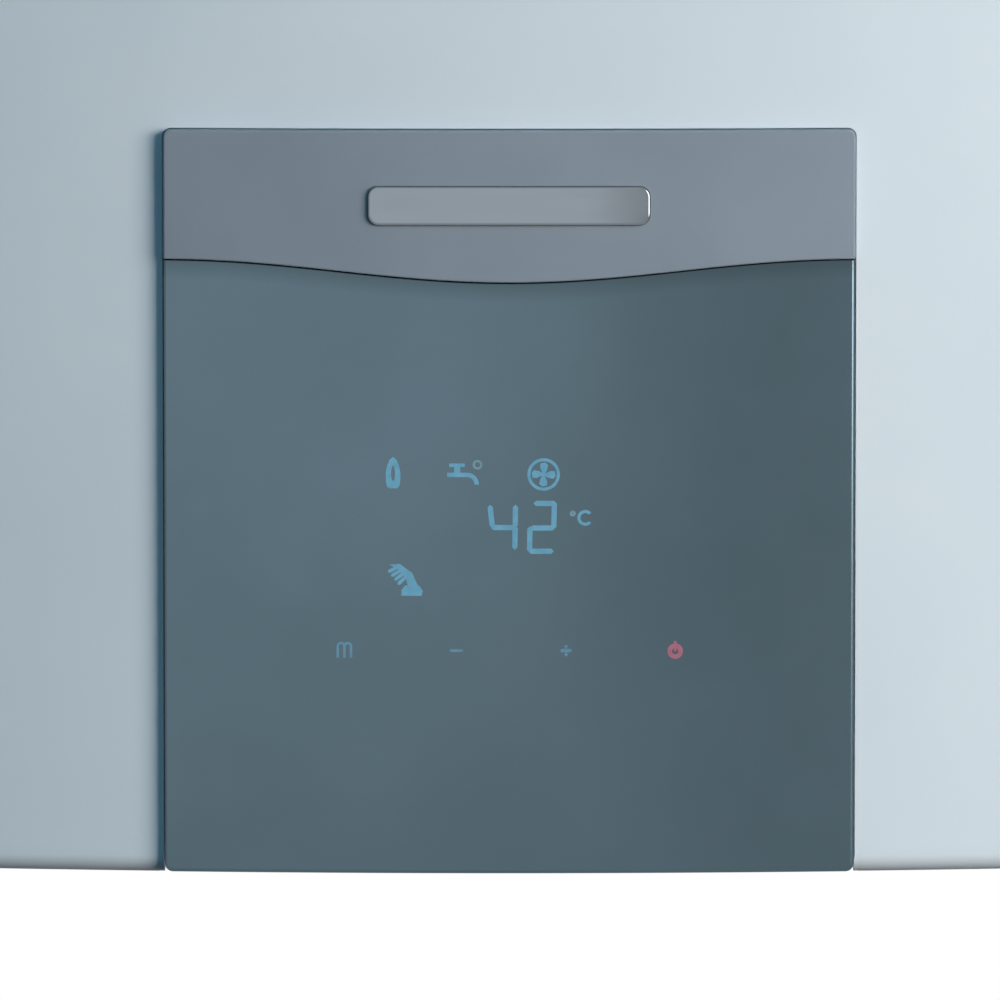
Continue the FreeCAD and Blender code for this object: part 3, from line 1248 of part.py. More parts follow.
def stub_bore(x, depth, top):
    return rod(at(x, depth, -STUB_DROP - CUT), UP, STUB_BORE, STUB_DROP + top + 2 * CUT)


def cold_inlet_fitting():
    """Brass inlet with a branch for the drain plug."""
    depth = WATER_DEPTH + DRAIN_REACH
    level = FITTING_TOP - DRAIN_BOSS
    branch = rod(at(WATER_X, WATER_DEPTH, level), FORWARD, DRAIN_BRANCH, DRAIN_REACH)
    boss = rod(at(WATER_X, depth, PAN_TOP), UP, DRAIN_BOSS, FITTING_TOP - PAN_TOP)
    body = join(stub(WATER_X, WATER_DEPTH, FITTING_TOP), branch, boss)
    seat = at(WATER_X, depth, PAN_TOP - CUT)
    socket = rod(seat, UP, DRAIN_STEM + RUNNING_PLAY, level + DRAIN_BRANCH * 0.75 - PAN_TOP + CUT)
    drain = rod(at(WATER_X, WATER_DEPTH, level), FORWARD, DRAIN_BRANCH / 2, DRAIN_REACH)
    return body.cut(stub_bore(WATER_X, WATER_DEPTH, FITTING_TOP)).cut(socket).cut(drain)


def drain_plug():
    """Knurled plug under the cold inlet, for emptying the heater."""
    depth = WATER_DEPTH + DRAIN_REACH
    head_top = PAN_LOW - SCREW_PLAY
    base = at(WATER_X, depth, -DRAIN_DROP)
    head = rounded(rod(base, UP, DRAIN_HEAD, head_top + DRAIN_DROP), 1)
    for i in range(18):
        angle = math.radians(20 * i)
        groove = base + RIGHT * (DRAIN_HEAD * math.cos(angle)) + FORWARD * (DRAIN_HEAD * math.sin(angle))
        head = head.cut(rod(groove - UP * CUT, UP, 0.8, DRAIN_DROP + PAN_LOW + 2 * CUT))
    stem = rod(base, UP, DRAIN_STEM, DRAIN_DROP + PAN_TOP + HEX_HEIGHT)
    return join(head, stem)


def hot_outlet_fitting():
    body = stub(-WATER_X, WATER_DEPTH, FITTING_TOP)
    return body.cut(stub_bore(-WATER_X, WATER_DEPTH, FITTING_TOP))


def gas_inlet_fitting():
    body = stub(0, GAS_DEPTH, VALVE_LEVEL)
    return body.cut(stub_bore(0, GAS_DEPTH, VALVE_LEVEL))


def flow_sensor_body():
    """Tube with a spider at each end that carries the turbine's pins, and a plug socket in front."""
    tube = ring(at(WATER_X, WATER_DEPTH, FITTING_TOP), UP, FITTING_RADIUS, SENSOR_BORE, SENSOR_LENGTH)
    parts = [tube]
    for low in (FITTING_TOP, SENSOR_TOP - SPIDER):
        for half_x, half_depth in ((SENSOR_BORE + 1, 1.5), (1.5, SENSOR_BORE + 1)):
            x = (WATER_X - half_x, WATER_X + half_x)
            depth = (WATER_DEPTH - half_depth, WATER_DEPTH + half_depth)
            parts.append(block(x, depth, (low, low + SPIDER)))
        parts.append(rod(at(WATER_X, WATER_DEPTH, low), UP, TURBINE_PIN * 3, SPIDER))
    middle = FITTING_TOP + SENSOR_LENGTH / 2
    side = SENSOR_SOCKET / 2
    depth = (WATER_DEPTH + SENSOR_BORE + 1, WATER_DEPTH + FITTING_RADIUS + side)
    parts.append(block((WATER_X - side, WATER_X + side), depth, (middle - side, middle + side)))
    body = join(*parts)
    foot = at(WATER_X, WATER_DEPTH, FITTING_TOP - CUT)
    return body.cut(rod(foot, UP, TURBINE_PIN + RUNNING_PLAY, SENSOR_LENGTH + 2 * CUT))


def flow_turbine():
    """Vaned rotor of the flow sensor, turning on its two pins."""
    base = at(WATER_X, WATER_DEPTH, FITTING_TOP)
    length = SENSOR_LENGTH - 2 * SPIDER - 2 * TURBINE_TIP_PLAY
    low = SPIDER + TURBINE_TIP_PLAY
    hub = rod(base + UP * low, UP, TURBINE_HUB, length)
    pin = rod(base + UP * TURBINE_TIP_PLAY, UP, TURBINE_PIN, SENSOR_LENGTH - 2 * TURBINE_TIP_PLAY)
    tip = SENSOR_BORE - TURBINE_TIP_PLAY
    middle = FITTING_TOP + SENSOR_LENGTH / 2
    half = length * 0.35
    x = (WATER_X + TURBINE_HUB * 0.5, WATER_X + tip - TURBINE_TIP_PLAY)
    sheet = VANE_SHEET / 2
    vane = block(x, (WATER_DEPTH - sheet, WATER_DEPTH + sheet), (middle - half, middle + half))
    vane = vane.rotated(at(WATER_X, WATER_DEPTH, middle), RIGHT, 25)
    limit = rod(base, UP, tip, SENSOR_LENGTH)
    vane = vane.common(limit)
    vanes = [vane.rotated(base, UP, 360.0 / TURBINE_VANES * i) for i in range(TURBINE_VANES)]
    return join(hub, pin, *vanes)


def servo_valve_body():
    """Brass valve that meters the water, with a boss for its spindle."""
    base = at(WATER_X, WATER_DEPTH, SENSOR_TOP)
    barrel = rounded(rod(base, UP, FITTING_RADIUS + 2, SERVO_LENGTH), 1.5)
    boss = rod(at(WATER_X, WATER_DEPTH, SERVO_AXIS), FORWARD, SERVO_BOSS, SERVO_REACH)
    body = join(barrel, boss)
    way = rod(base - UP * CUT, UP, STUB_BORE, SERVO_LENGTH + 2 * CUT)
    end = at(WATER_X, WATER_DEPTH - STUB_BORE - SPINDLE_SEAT - CUT, SERVO_AXIS)
    seat = rod(end, FORWARD, SPINDLE_RADIUS + RUNNING_PLAY, 2 * SERVO_REACH)
    return body.cut(way).cut(seat)


def servo_spindle():
    """Spindle with a cross hole that throttles the water as it turns."""
    back = WATER_DEPTH - STUB_BORE - SPINDLE_SEAT
    length = WATER_DEPTH + SERVO_REACH + SERVO_MOTOR_LENGTH * 0.5 - back
    spindle = rod(at(WATER_X, back, SERVO_AXIS), FORWARD, SPINDLE_RADIUS, length)
    below = at(WATER_X, WATER_DEPTH, SERVO_AXIS - 2 * SPINDLE_RADIUS)
    return spindle.cut(rod(below, UP, SPINDLE_RADIUS * 0.7, 4 * SPINDLE_RADIUS))


def servo_motor():
    base = at(WATER_X, WATER_DEPTH + SERVO_REACH, SERVO_AXIS)
    body = rounded(rod(base, FORWARD, SERVO_MOTOR_RADIUS, SERVO_MOTOR_LENGTH), 1.5)
    bore = rod(base - FORWARD * CUT, FORWARD, SPINDLE_RADIUS + RUNNING_PLAY, SERVO_MOTOR_LENGTH * 0.6 + CUT)
    return body.cut(bore)


def temperature_sensors():
    """Hot water sensor in the outlet pipe's fitting and overheat cut-out on the hood."""
    side = at(-WATER_X, WATER_DEPTH + FITTING_RADIUS, (PAN_TOP + HEX_HEIGHT + FITTING_TOP) / 2)
    nut = hexagon(side, FORWARD, 11, 6)
    probe = join(nut, rod(side, FORWARD, 3, 16))
    face = at(-SWITCH_X, SHELL_FRONT, HOOD_LEVEL - FIN_TOP_GAP - FIN_HEIGHT / 2)
    disc = rod(face, FORWARD, 9, 4)
    cap = rod(face, FORWARD, 6, 10)
    return group([probe, join(disc, cap)])


def solenoids():
    """Name, foot on the valve block and axis of the three gas solenoids."""
    return {
        "safety": (at(-SOLENOID_X, VALVE_FRONT, SOLENOID_LEVEL), FORWARD),
        "main": (at(SOLENOID_X, VALVE_FRONT, SOLENOID_LEVEL), FORWARD),
        "modulating": (at(-VALVE_WIDTH / 2, GAS_DEPTH, SOLENOID_LEVEL), LEFT),
    }


def gas_valve_body():
    half = VALVE_WIDTH / 2
    body = block((-half, half), (VALVE_BACK, VALVE_FRONT), (VALVE_LEVEL, VALVE_TOP))
    body = rounded(body, VALVE_ROUND, lambda e: e.BoundBox.ZLength > VALVE_HEIGHT / 2)
    outlet = rod(at(0, GAS_DEPTH, VALVE_TOP), UP, VALVE_OUTLET, VALVE_OUTLET_HEIGHT)
    body = join(body, outlet)
    way = VALVE_HEIGHT + VALVE_OUTLET_HEIGHT + 2 * CUT
    body = body.cut(rod(at(0, GAS_DEPTH, VALVE_LEVEL - CUT), UP, STUB_BORE, way))
    for foot, axis in solenoids().values():
        body = body.cut(rod(foot - axis * POCKET_DEPTH, axis, POCKET_RADIUS, POCKET_DEPTH + CUT))
    return body


def gas_valve_coils():
    """Solenoid coils, each with a blind bore for its plunger and two spade terminals."""
    coils = []
    for foot, axis in solenoids().values():
        coil = rounded(rod(foot, axis, SOLENOID_RADIUS, SOLENOID_LENGTH), 1.5)
        bore_length = SOLENOID_LENGTH - SOLENOID_CAP + CUT
        bore = rod(foot - axis * CUT, axis, PLUNGER_RADIUS + PLUNGER_PLAY, bore_length)
        end = foot + axis * (SOLENOID_LENGTH - CUT)
        spades = []
        for rise in (-5, 5):
            spades.append(rod(end + UP * rise, axis, 1.5, SPADE_LENGTH + CUT))
        coils.append(join(coil, *spades).cut(bore))
    return group(coils)


def plunger(foot, axis):
    """Solenoid plunger with its valve disc."""
    disc = rod(foot - axis * (POCKET_DEPTH - CUT), axis, PLUNGER_DISC, PLUNGER_DISC_HEIGHT)
    stem = rod(foot - axis * (POCKET_DEPTH - CUT), axis, PLUNGER_RADIUS, POCKET_DEPTH - CUT + PLUNGER_LENGTH)
    return join(disc, stem)


def valve_bracket():
    """Angle that carries the gas valve on the back plate."""
    half = VALVE_WIDTH * 0.3
    middle = VALVE_LEVEL + VALVE_HEIGHT / 2
    shelf = block((-half, half), (PLATE, VALVE_BACK), (middle, middle + 2 * PLATE))
    foot = block((-half, half), (PLATE, 2 * PLATE), (middle - 18, middle + 22))
    face = block((-half, half), (VALVE_BACK - PLATE, VALVE_BACK), (middle - 18, middle + 22))
    return join(shelf, foot, face)


def gas_pipe():
    level = BURNER_LEVEL - GAS_PIPE_RADIUS - 4
    end = VENTURI_LEVEL - MANIFOLD_RADIUS - MANIFOLD_WALL * 3
    points = [
        at(0, GAS_DEPTH, VALVE_TOP + VALVE_OUTLET_HEIGHT),
        at(0, GAS_DEPTH, level),
        at(0, MANIFOLD_DEPTH, level),
        at(0, MANIFOLD_DEPTH, end),
    ]
    return pipe(points, TUBE_BEND, GAS_PIPE_RADIUS, GAS_PIPE_RADIUS - TUBE_WALL)


def union_nuts():
    """Brass nuts that clamp the pipes to the water valve, the hot outlet and the gas valve."""
    nuts = []
    places = (
        (at(WATER_X, WATER_DEPTH, SERVO_TOP), TUBE_RADIUS),
        (at(-WATER_X, WATER_DEPTH, FITTING_TOP), TUBE_RADIUS),
        (at(0, GAS_DEPTH, VALVE_TOP + VALVE_OUTLET_HEIGHT), GAS_PIPE_RADIUS),
    )
    for base, radius in places:
        nut = hexagon(base, UP, 2 * radius + NUT_WALL, NUT_HEIGHT)
        nuts.append(nut.cut(rod(base - UP * CUT, UP, radius + RUNNING_PLAY, NUT_HEIGHT + 2 * CUT)))
    return group(nuts)


def cable_gland():
    """Gland for the mains lead, with its lock nut on the bottom plate."""
    place = at(GLAND_X, GLAND_DEPTH, -GLAND_DROP)
    dome = rounded_end(rod(place, UP, GLAND_RADIUS, GLAND_DROP), place, GLAND_RADIUS - STUB_BORE + 0.5)
    grip = hexagon(at(GLAND_X, GLAND_DEPTH, -GLAND_DROP * 0.5), UP, GLAND_NUT, GLAND_DROP * 0.5 + PAN_LOW)
    thread = rod(place, UP, GLAND_RADIUS, GLAND_DROP + PAN_TOP + GLAND_RISE)
    lock = hexagon(at(GLAND_X, GLAND_DEPTH, PAN_TOP), UP, GLAND_NUT, 5)
    bore = rod(place - UP * CUT, UP, GLAND_BORE, GLAND_DROP + PAN_TOP + GLAND_RISE + 2 * CUT)
    return join(dome, grip, thread, lock).cut(bore)


def wiring_harness():
    """Leads from the control box to the gas solenoids, the flow servo and the fan."""
    back = BOX_BACK
    cables = []
    for name in ("safety", "main"):
        foot, axis = solenoids()[name]
        end = foot + axis * (SOLENOID_LENGTH + SPADE_LENGTH)
        turn = (back - end.y) / 2
        low = SOLENOID_LEVEL - 4 * CABLE_BEND
        points = [at(end.x, back, low), at(end.x, turn, low), at(end.x, turn, SOLENOID_LEVEL), end]
        cables.append(pipe(points, min(CABLE_BEND, (back - turn) * 0.9), CABLE_RADIUS))
    servo_front = WATER_DEPTH + SERVO_REACH + SERVO_MOTOR_LENGTH
    points = [
        at(PANEL_WIDTH / 2 - 4 * BOX_INSET, back, SERVO_AXIS),
        at(PANEL_WIDTH / 2 - 4 * BOX_INSET, (back + servo_front) / 2, SERVO_AXIS),
        at(WATER_X, (back + servo_front) / 2, SERVO_AXIS),
        at(WATER_X, servo_front, SERVO_AXIS),
    ]
    cables.append(pipe(points, CABLE_BEND, CABLE_RADIUS))
    side = SHELL_SIDE + SPARK_WIDTH + 2 * CABLE_RADIUS
    leave = BOX_TOP - 3 * CABLE_BEND
    run_depth = SHELL_FRONT - CABLE_BEND
    motor_middle = SCROLL_FRONT + MOTOR_STANDOFF + MOTOR_LENGTH * 0.6
    points = [
        at(PANEL_WIDTH / 2 - 4 * BOX_INSET, back, leave),
        at(PANEL_WIDTH / 2 - 4 * BOX_INSET, run_depth, leave),
        at(side, run_depth, leave + CABLE_BEND),
        at(side, run_depth, FAN_LEVEL - 4 * CABLE_BEND),
        at(side - 2 * CABLE_BEND, motor_middle, FAN_LEVEL),
        at(FAN_X + MOTOR_RADIUS, motor_middle, FAN_LEVEL),
    ]
    cables.append(pipe(points, CABLE_BEND, CABLE_RADIUS))
    return group(cables)


def nodes():
    """Every node of the part by name."""
    made = {
        "front_casing": front_casing(),
        "casing_screws": casing_screws(),
        "back_plate": back_plate(),
        "bottom_plate": bottom_plate(),
        "top_plate": top_plate(),
        "trim_band": trim_band(),
        "glass_panel": glass_panel(),
        "badge_plate": badge_plate(),
        "control_box": control_box(),
        "box_screws": box_screws(),
        "control_board": control_board(),
        "board_components": board_components(),
        "display_board": display_board(),
        "light_guide": light_guide(),
        "burner_frame": burner_frame(),
        "burner_bars": burner_bars(),
        "gas_manifold": gas_manifold(),
        "gas_nozzles": gas_nozzles(),
        "sight_frame": sight_frame(),
        "sight_glass": sight_glass(),
        "electrode_insulators": electrode_insulators(),
        "ignition_electrodes": ignition_electrodes(),
        "ignition_transformer": ignition_transformer(),
        "ignition_leads": ignition_leads(),
        "mounting_brackets": mounting_brackets(),
        "exchanger_shell": exchanger_shell(),
        "exchanger_fins": exchanger_fins(),
        "exchanger_tubes": exchanger_tubes(),
        "shell_coil": shell_coil(),
        "cold_pipe": cold_pipe(),
        "hot_pipe": hot_pipe(),
        "flue_hood": flue_hood(),
        "fan_housing": fan_housing(),
        "fan_impeller": fan_impeller(),
        "fan_motor": fan_motor(),
        "flue_spigot": flue_spigot(),
        "collar_gasket": collar_gasket(),
        "air_collar": air_collar(),
        "collar_screws": collar_screws(),
        "pressure_switch": pressure_switch(),
        "pressure_hoses": pressure_hoses(),
        "cold_inlet_fitting": cold_inlet_fitting(),
        "drain_plug": drain_plug(),
        "hot_outlet_fitting": hot_outlet_fitting(),
        "gas_inlet_fitting": gas_inlet_fitting(),
        "flow_sensor_body": flow_sensor_body(),
        "flow_turbine": flow_turbine(),
        "servo_valve_body": servo_valve_body(),
        "servo_spindle": servo_spindle(),
        "servo_motor": servo_motor(),
        "temperature_sensors": temperature_sensors(),
        "gas_valve_body": gas_valve_body(),
        "gas_valve_coils": gas_valve_coils(),
        "gas_pipe": gas_pipe(),
        "union_nuts": union_nuts(),
        "cable_gland": cable_gland(),
        "wiring_harness": wiring_harness(),
    }
    for name, (foot, axis) in solenoids().items():
        made[name + "_plunger"] = plunger(foot, axis)
    return made


def main():
    os.makedirs("parts", exist_ok=True)
    for name, shape in nodes().items():
        shape.exportStep(os.path.join("parts", name + ".step"))


main()
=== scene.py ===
import math

import bmesh
import bpy
from mathutils import Matrix, Vector


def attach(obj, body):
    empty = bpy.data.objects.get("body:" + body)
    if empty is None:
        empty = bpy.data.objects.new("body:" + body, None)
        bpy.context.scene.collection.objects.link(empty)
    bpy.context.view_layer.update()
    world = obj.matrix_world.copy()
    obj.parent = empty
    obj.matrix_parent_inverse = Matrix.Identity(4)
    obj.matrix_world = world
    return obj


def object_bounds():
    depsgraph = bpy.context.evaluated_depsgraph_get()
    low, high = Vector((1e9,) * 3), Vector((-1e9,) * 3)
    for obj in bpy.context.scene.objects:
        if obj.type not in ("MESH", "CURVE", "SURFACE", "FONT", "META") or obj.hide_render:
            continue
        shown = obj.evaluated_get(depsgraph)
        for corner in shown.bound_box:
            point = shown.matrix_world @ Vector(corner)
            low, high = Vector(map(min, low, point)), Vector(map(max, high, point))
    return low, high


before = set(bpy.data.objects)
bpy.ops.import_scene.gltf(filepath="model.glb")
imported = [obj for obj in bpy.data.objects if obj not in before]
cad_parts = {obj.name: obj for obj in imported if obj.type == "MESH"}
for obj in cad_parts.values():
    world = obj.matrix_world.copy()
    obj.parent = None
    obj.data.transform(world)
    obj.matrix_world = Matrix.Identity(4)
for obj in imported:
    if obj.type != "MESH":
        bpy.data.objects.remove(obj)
cad_low, cad_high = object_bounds()

# The looks of a wall-hung gas water heater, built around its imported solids.
# Places are in metres in the part's own frame: +X right, -Y forward, +Z up, the wall at Y = 0 and the
# middle of the casing's height at Z = 0.

MM = 0.001
UP = Vector((0, 0, 1))
FORWARD = Vector((0, -1, 0))
RIGHT = Vector((1, 0, 0))
scene = bpy.context.scene

# The casing's bowed front and the control glass on it, as in the part. The glass begins under the trim band
# along a wave, which is highest at the glass's sides.
CASE_FRONT = 240 * MM
BOW_RADIUS = 850 * MM
GLASS_PROUD = 2.8 * MM
WAVE_TOP = -199.4 * MM
WAVE_DROP = 5.1 * MM
WAVE_HALF = 76.9 * MM


def linear(code):
    """Linear colour of an sRGB hex code."""
    parts = [int(code[i : i + 2], 16) / 255 for i in (1, 3, 5)]
    return tuple(p / 12.92 if p <= 0.04045 else ((p + 0.055) / 1.055) ** 2.4 for p in parts) + (1.0,)


def add(tree, kind, sockets=None, **settings):
    """Adds a node. settings are its own options; sockets take a value or a link."""
    made = tree.nodes.new(kind)
    for name, value in settings.items():
        setattr(made, name, value)
    for name, value in (sockets or {}).items():
        if isinstance(value, bpy.types.NodeSocket):
            tree.links.new(value, made.inputs[name])
        else:
            made.inputs[name].default_value = value
    return made


def surface(name, sockets):
    """New material with one Principled shader. Gives the material, its tree, the shader and the place."""
    material = bpy.data.materials.new(name)
    material.use_nodes = True
    tree = material.node_tree
    tree.nodes.clear()
    shader = add(tree, "ShaderNodeBsdfPrincipled", sockets)
    add(tree, "ShaderNodeOutputMaterial", {"Surface": shader.outputs["BSDF"]})
    place = add(tree, "ShaderNodeTexCoord").outputs["Object"]
    return material, tree, shader, place


def toned(tree, factor, first, second):
    """Colour that goes from the first hex code to the second with the factor."""
    mix = add(tree, "ShaderNodeMix", {0: factor, 6: linear(first), 7: linear(second)}, data_type="RGBA")
    return mix.outputs[2]


def spread(tree, value, low, high, bottom=0.3, top=0.7):
    """Noise value, which lies mostly between bottom and top, spread from low to high."""
    sockets = {"Value": value, "From Min": bottom, "From Max": top, "To Min": low, "To Max": high}
    return add(tree, "ShaderNodeMapRange", sockets).outputs["Result"]


def finish(name, tones, blotch, roughness, grain, relief=0.0, stretch=(1, 1, 1), **sockets):
    """Two close tones in soft blotches, a grained gloss and a fine relief.
    blotch, grain and relief are millimetres: across a blotch, across a grain, and a grain's height."""
    material, tree, shader, place = surface(name, sockets)
    if stretch != (1, 1, 1):
        place = add(tree, "ShaderNodeMapping", {"Vector": place, "Scale": stretch}).outputs["Vector"]
    clouds = add(tree, "ShaderNodeTexNoise", {"Vector": place, "Scale": 1 / (blotch * MM), "Detail": 3.0})
    grains = add(tree, "ShaderNodeTexNoise", {"Vector": place, "Scale": 1 / (grain * MM), "Detail": 2.0})
    tone = toned(tree, spread(tree, clouds.outputs["Fac"], 0, 1), *tones)
    tree.links.new(tone, shader.inputs["Base Color"])
    tree.links.new(spread(tree, grains.outputs["Fac"], *roughness), shader.inputs["Roughness"])
    if relief:
        height = {"Height": grains.outputs["Fac"], "Distance": relief * MM, "Strength": 1.0}
        tree.links.new(add(tree, "ShaderNodeBump", height).outputs["Normal"], shader.inputs["Normal"])
    return material


# Zinc: across a crystal, across a wobble of its edges and how far that bends them, and the roughness
CRYSTAL = 8 * MM
WOBBLE = 9 * MM
WOBBLE_SHARE = 0.004
ZINC_ROUGHNESS = (0.54, 0.68)


def galvanised_sheet():
    """Hot-dip galvanised steel: frozen zinc crystals, each with its own grey and its own gloss."""
    material, tree, shader, place = surface("galvanised_sheet", {"Metallic": 0.5})
    wobble = add(tree, "ShaderNodeTexNoise", {"Vector": place, "Scale": 1 / WOBBLE, "Detail": 3.0})
    bending = {0: WOBBLE_SHARE, 4: place, 5: wobble.outputs["Color"]}
    bent = add(tree, "ShaderNodeMix", bending, data_type="VECTOR").outputs[1]
    crystals = add(tree, "ShaderNodeTexVoronoi", {"Vector": bent, "Scale": 1 / CRYSTAL}).outputs["Color"]
    shade = add(tree, "ShaderNodeSeparateColor", {"Color": crystals})
    tone = toned(tree, shade.outputs["Red"], "#9aa0a3", "#a8aeb0")
    tree.links.new(tone, shader.inputs["Base Color"])
    gloss = spread(tree, shade.outputs["Green"], *ZINC_ROUGHNESS, 0.0, 1.0)
    tree.links.new(gloss, shader.inputs["Roughness"])
    return material


# Board: the unit of its tracks' pattern, and the roughness between the tracks and on them
TRACK_UNIT = 9 * MM
BOARD_ROUGHNESS = (0.38, 0.24)


def printed_board():
    """Glass-epoxy circuit board: green solder mask over copper tracks, a shade lighter where they run."""
    material, tree, shader, place = surface("printed_board", {"Specular IOR Level": 0.5})
    upright = add(tree, "ShaderNodeMapping", {"Vector": place, "Rotation": (math.radians(90), 0, 0)})
    rows = {"Vector": upright.outputs["Vector"], "Scale": 1 / TRACK_UNIT, "Mortar Size": 0.035}
    rows.update({"Brick Width": 0.9, "Row Height": 0.22, "Mortar Smooth": 0.1})
    tracks = add(tree, "ShaderNodeTexBrick", rows)
    tone = toned(tree, tracks.outputs["Fac"], "#0f4a2b", "#2b7c4a")
    tree.links.new(tone, shader.inputs["Base Color"])
    tree.links.new(spread(tree, tracks.outputs["Fac"], *BOARD_ROUGHNESS, 0, 1), shader.inputs["Roughness"])
    return material


# Glass: across a patch of haze, across a patch of film, the film's roughness, and the painted shadow under
# the
# wave: the share of the tone that it leaves, and how far down it fades out
HAZE = 45 * MM
FILM = 18 * MM
FILM_ROUGHNESS = (0.17, 0.21)
PAINTED_SHADOW_SHARE = 0.72
PAINTED_SHADOW_FADE = 4.5 * MM


def mirror_glass():
    """Toughened glass with a grey half-mirror behind it: dark, cool, lit by what stands before it, and
    with a painted shadow of the trim band: its tone darkened in a soft band under the wave."""
    material, tree, shader, place = surface("mirror_glass", {"Metallic": 1.0})
    haze = add(tree, "ShaderNodeTexNoise", {"Vector": place, "Scale": 1 / HAZE, "Detail": 4.0})
    tone = toned(tree, spread(tree, haze.outputs["Fac"], 0, 1), "#485961", "#4c5d66")
    # Painted shadow under the trim band: the tone is darkened just below the wave and fades out downwards.
    spot = add(tree, "ShaderNodeSeparateXYZ", {"Vector": place}).outputs
    angle = {0: spot["X"], 1: math.pi / WAVE_HALF}
    angle = add(tree, "ShaderNodeMath", angle, operation="MULTIPLY").outputs[0]
    swing = add(tree, "ShaderNodeMath", {0: angle}, operation="COSINE").outputs[0]
    wave = spread(tree, swing, WAVE_TOP, WAVE_TOP - WAVE_DROP, -1, 1)
    depth = add(tree, "ShaderNodeMath", {0: wave, 1: spot["Z"]}, operation="SUBTRACT").outputs[0]
    shade = spread(tree, depth, PAINTED_SHADOW_SHARE, 1, 0, PAINTED_SHADOW_FADE)
    tone = add(tree, "ShaderNodeVectorMath", {0: tone, 1: shade}, operation="MULTIPLY").outputs["Vector"]
    tree.links.new(tone, shader.inputs["Base Color"])
    film = add(tree, "ShaderNodeTexNoise", {"Vector": place, "Scale": 1 / FILM, "Detail": 5.0})
    tree.links.new(spread(tree, film.outputs["Fac"], *FILM_ROUGHNESS), shader.inputs["Roughness"])
    return material


# Lit symbols: across a patch of uneven light, and the light's strength
LIGHT_PATCH = 1.6 * MM
LIGHT_STRENGTH = 0.95


def lit_symbol(name, first, second):
    """Light from a diode spread behind the glass: two close tones in small patches."""
    unlit = {"Base Color": (0, 0, 0, 1), "Roughness": 0.35, "Specular IOR Level": 0.0}
    material, tree, shader, place = surface(name, unlit)
    uneven = add(tree, "ShaderNodeTexNoise", {"Vector": place, "Scale": 1 / LIGHT_PATCH, "Detail": 2.0})
    tone = toned(tree, spread(tree, uneven.outputs["Fac"], 0, 1), first, second)
    tree.links.new(tone, shader.inputs["Emission Color"])
    shader.inputs["Emission Strength"].default_value = LIGHT_STRENGTH
    return material


FINISHES = {
    # Polyester enamel with aluminium flake, sprayed on steel and stoved: satin, cool and faintly grained
    "silver_paint": finish(
        "silver_enamel", ("#d3dfe8", "#d8e3eb"), 60, (0.46, 0.56), 0.7, 0.004, **{"Specular IOR Level": 0.1}
    ),
    "zinc_sheet": galvanised_sheet(),
    # Silver lacquer on moulded plastic: darker than the casing, with a finer, closer flake
    "trim_silver": finish(
        "silver_lacquer", ("#8793a0", "#8c98a4"), 30, (0.4, 0.48), 0.5, 0.002, **{"Specular IOR Level": 0.05}
    ),
    "tinted_glass": mirror_glass(),
    # Dark chromium plate on moulded plastic: a clean mirror with the faint marks of wiping
    "bright_chrome": finish(
        "chromium_plate", ("#6a7278", "#757c82"), 20, (0.06, 0.12), 4, stretch=(0.2, 1, 1), Metallic=1.0
    ),
    # Moulded ABS with a spark-eroded texture: even, matt and a little dusty
    "grey_plastic": finish("moulded_abs", ("#4f5458", "#585d61"), 25, (0.46, 0.6), 0.6, 0.02),
    "circuit_board": printed_board(),
    # Glass-filled nylon: near black, with a soft shine and the flow marks of the mould
    "black_plastic": finish("filled_nylon", ("#17181a", "#232528"), 12, (0.36, 0.52), 0.8, 0.015),
    # Moulded polyamide in natural white, slightly warm
    "white_plastic": finish("white_polyamide", ("#dcdcd6", "#e6e6e1"), 15, (0.36, 0.48), 0.7, 0.01),
    # Stainless sheet with a mill grain that runs one way
    "stainless": finish(
        "stainless_sheet", ("#a6a49f", "#bab8b3"), 6, (0.22, 0.42), 1.2, stretch=(0.05, 1, 1), Metallic=1.0
    ),
    # Drawn copper: bright pink-orange with brown patches where it has been heated and handled
    "copper": finish("drawn_copper", ("#b9704f", "#8f4f38"), 28, (0.22, 0.4), 3, Metallic=1.0),
    # Machined brass: yellow, with fine turning marks
    "brass": finish("machined_brass", ("#c6a254", "#b08c45"), 14, (0.2, 0.36), 0.8, 0.006, Metallic=1.0),
    # Pressure-cast aluminium: pale grey with the grain of the die
    "cast_aluminium": finish(
        "cast_aluminium", ("#a5a8aa", "#b4b7b9"), 10, (0.42, 0.58), 0.9, 0.03, Metallic=0.9
    ),
    # Stoved enamel on the flue parts: cool white-grey, a little glossier than the casing
    "flue_enamel": finish("flue_enamel", ("#c6ced5", "#d2d9df"), 50, (0.3, 0.42), 1.2, 0.006),
    # Glazed electrical porcelain: warm white and very glossy
    "porcelain": finish(
        "glazed_porcelain", ("#e6e0d2", "#f0ebe0"), 9, (0.08, 0.16), 2, **{"Coat Weight": 0.5}
    ),
    # Heat-proof glass: clear, with a trace of green
    "clear_glass": finish(
        "heat_proof_glass",
        ("#dfece6", "#e8f2ee"),
        20,
        (0.02, 0.06),
        5,
        **{"Transmission Weight": 0.9, "IOR": 1.47},
    ),
    # Vulcanised rubber: dull black with a bloom
    "black_rubber": finish("vulcanised_rubber", ("#161616", "#262626"), 8, (0.62, 0.8), 0.7, 0.02),
    # Silicone hose: translucent grey, soft sheen
    "silicone": finish("silicone_hose", ("#a9adad", "#bcc0bf"), 12, (0.34, 0.5), 1.5, 0.01),
    # Silicone-sheathed spark lead: brick red, slightly powdery
    "lead_red": finish("silicone_lead", ("#7d1f17", "#93291e"), 10, (0.4, 0.56), 1.0, 0.01),
}
LIT_BLUE = lit_symbol("lit_blue", "#6ca2bc", "#6097b2")
LIT_DIM = lit_symbol("lit_dim", "#648da4", "#5b8398")
LIT_PALE = lit_symbol("lit_pale", "#7596a3", "#6d8d9a")
LIT_RED = lit_symbol("lit_red", "#aa7080", "#9c6574")


def dress_solids():
    """Gives every solid of the part the finish of its slot."""
    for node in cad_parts.values():
        for held in node.material_slots:
            held.material = FINISHES[held.material.name.split(".")[0]]


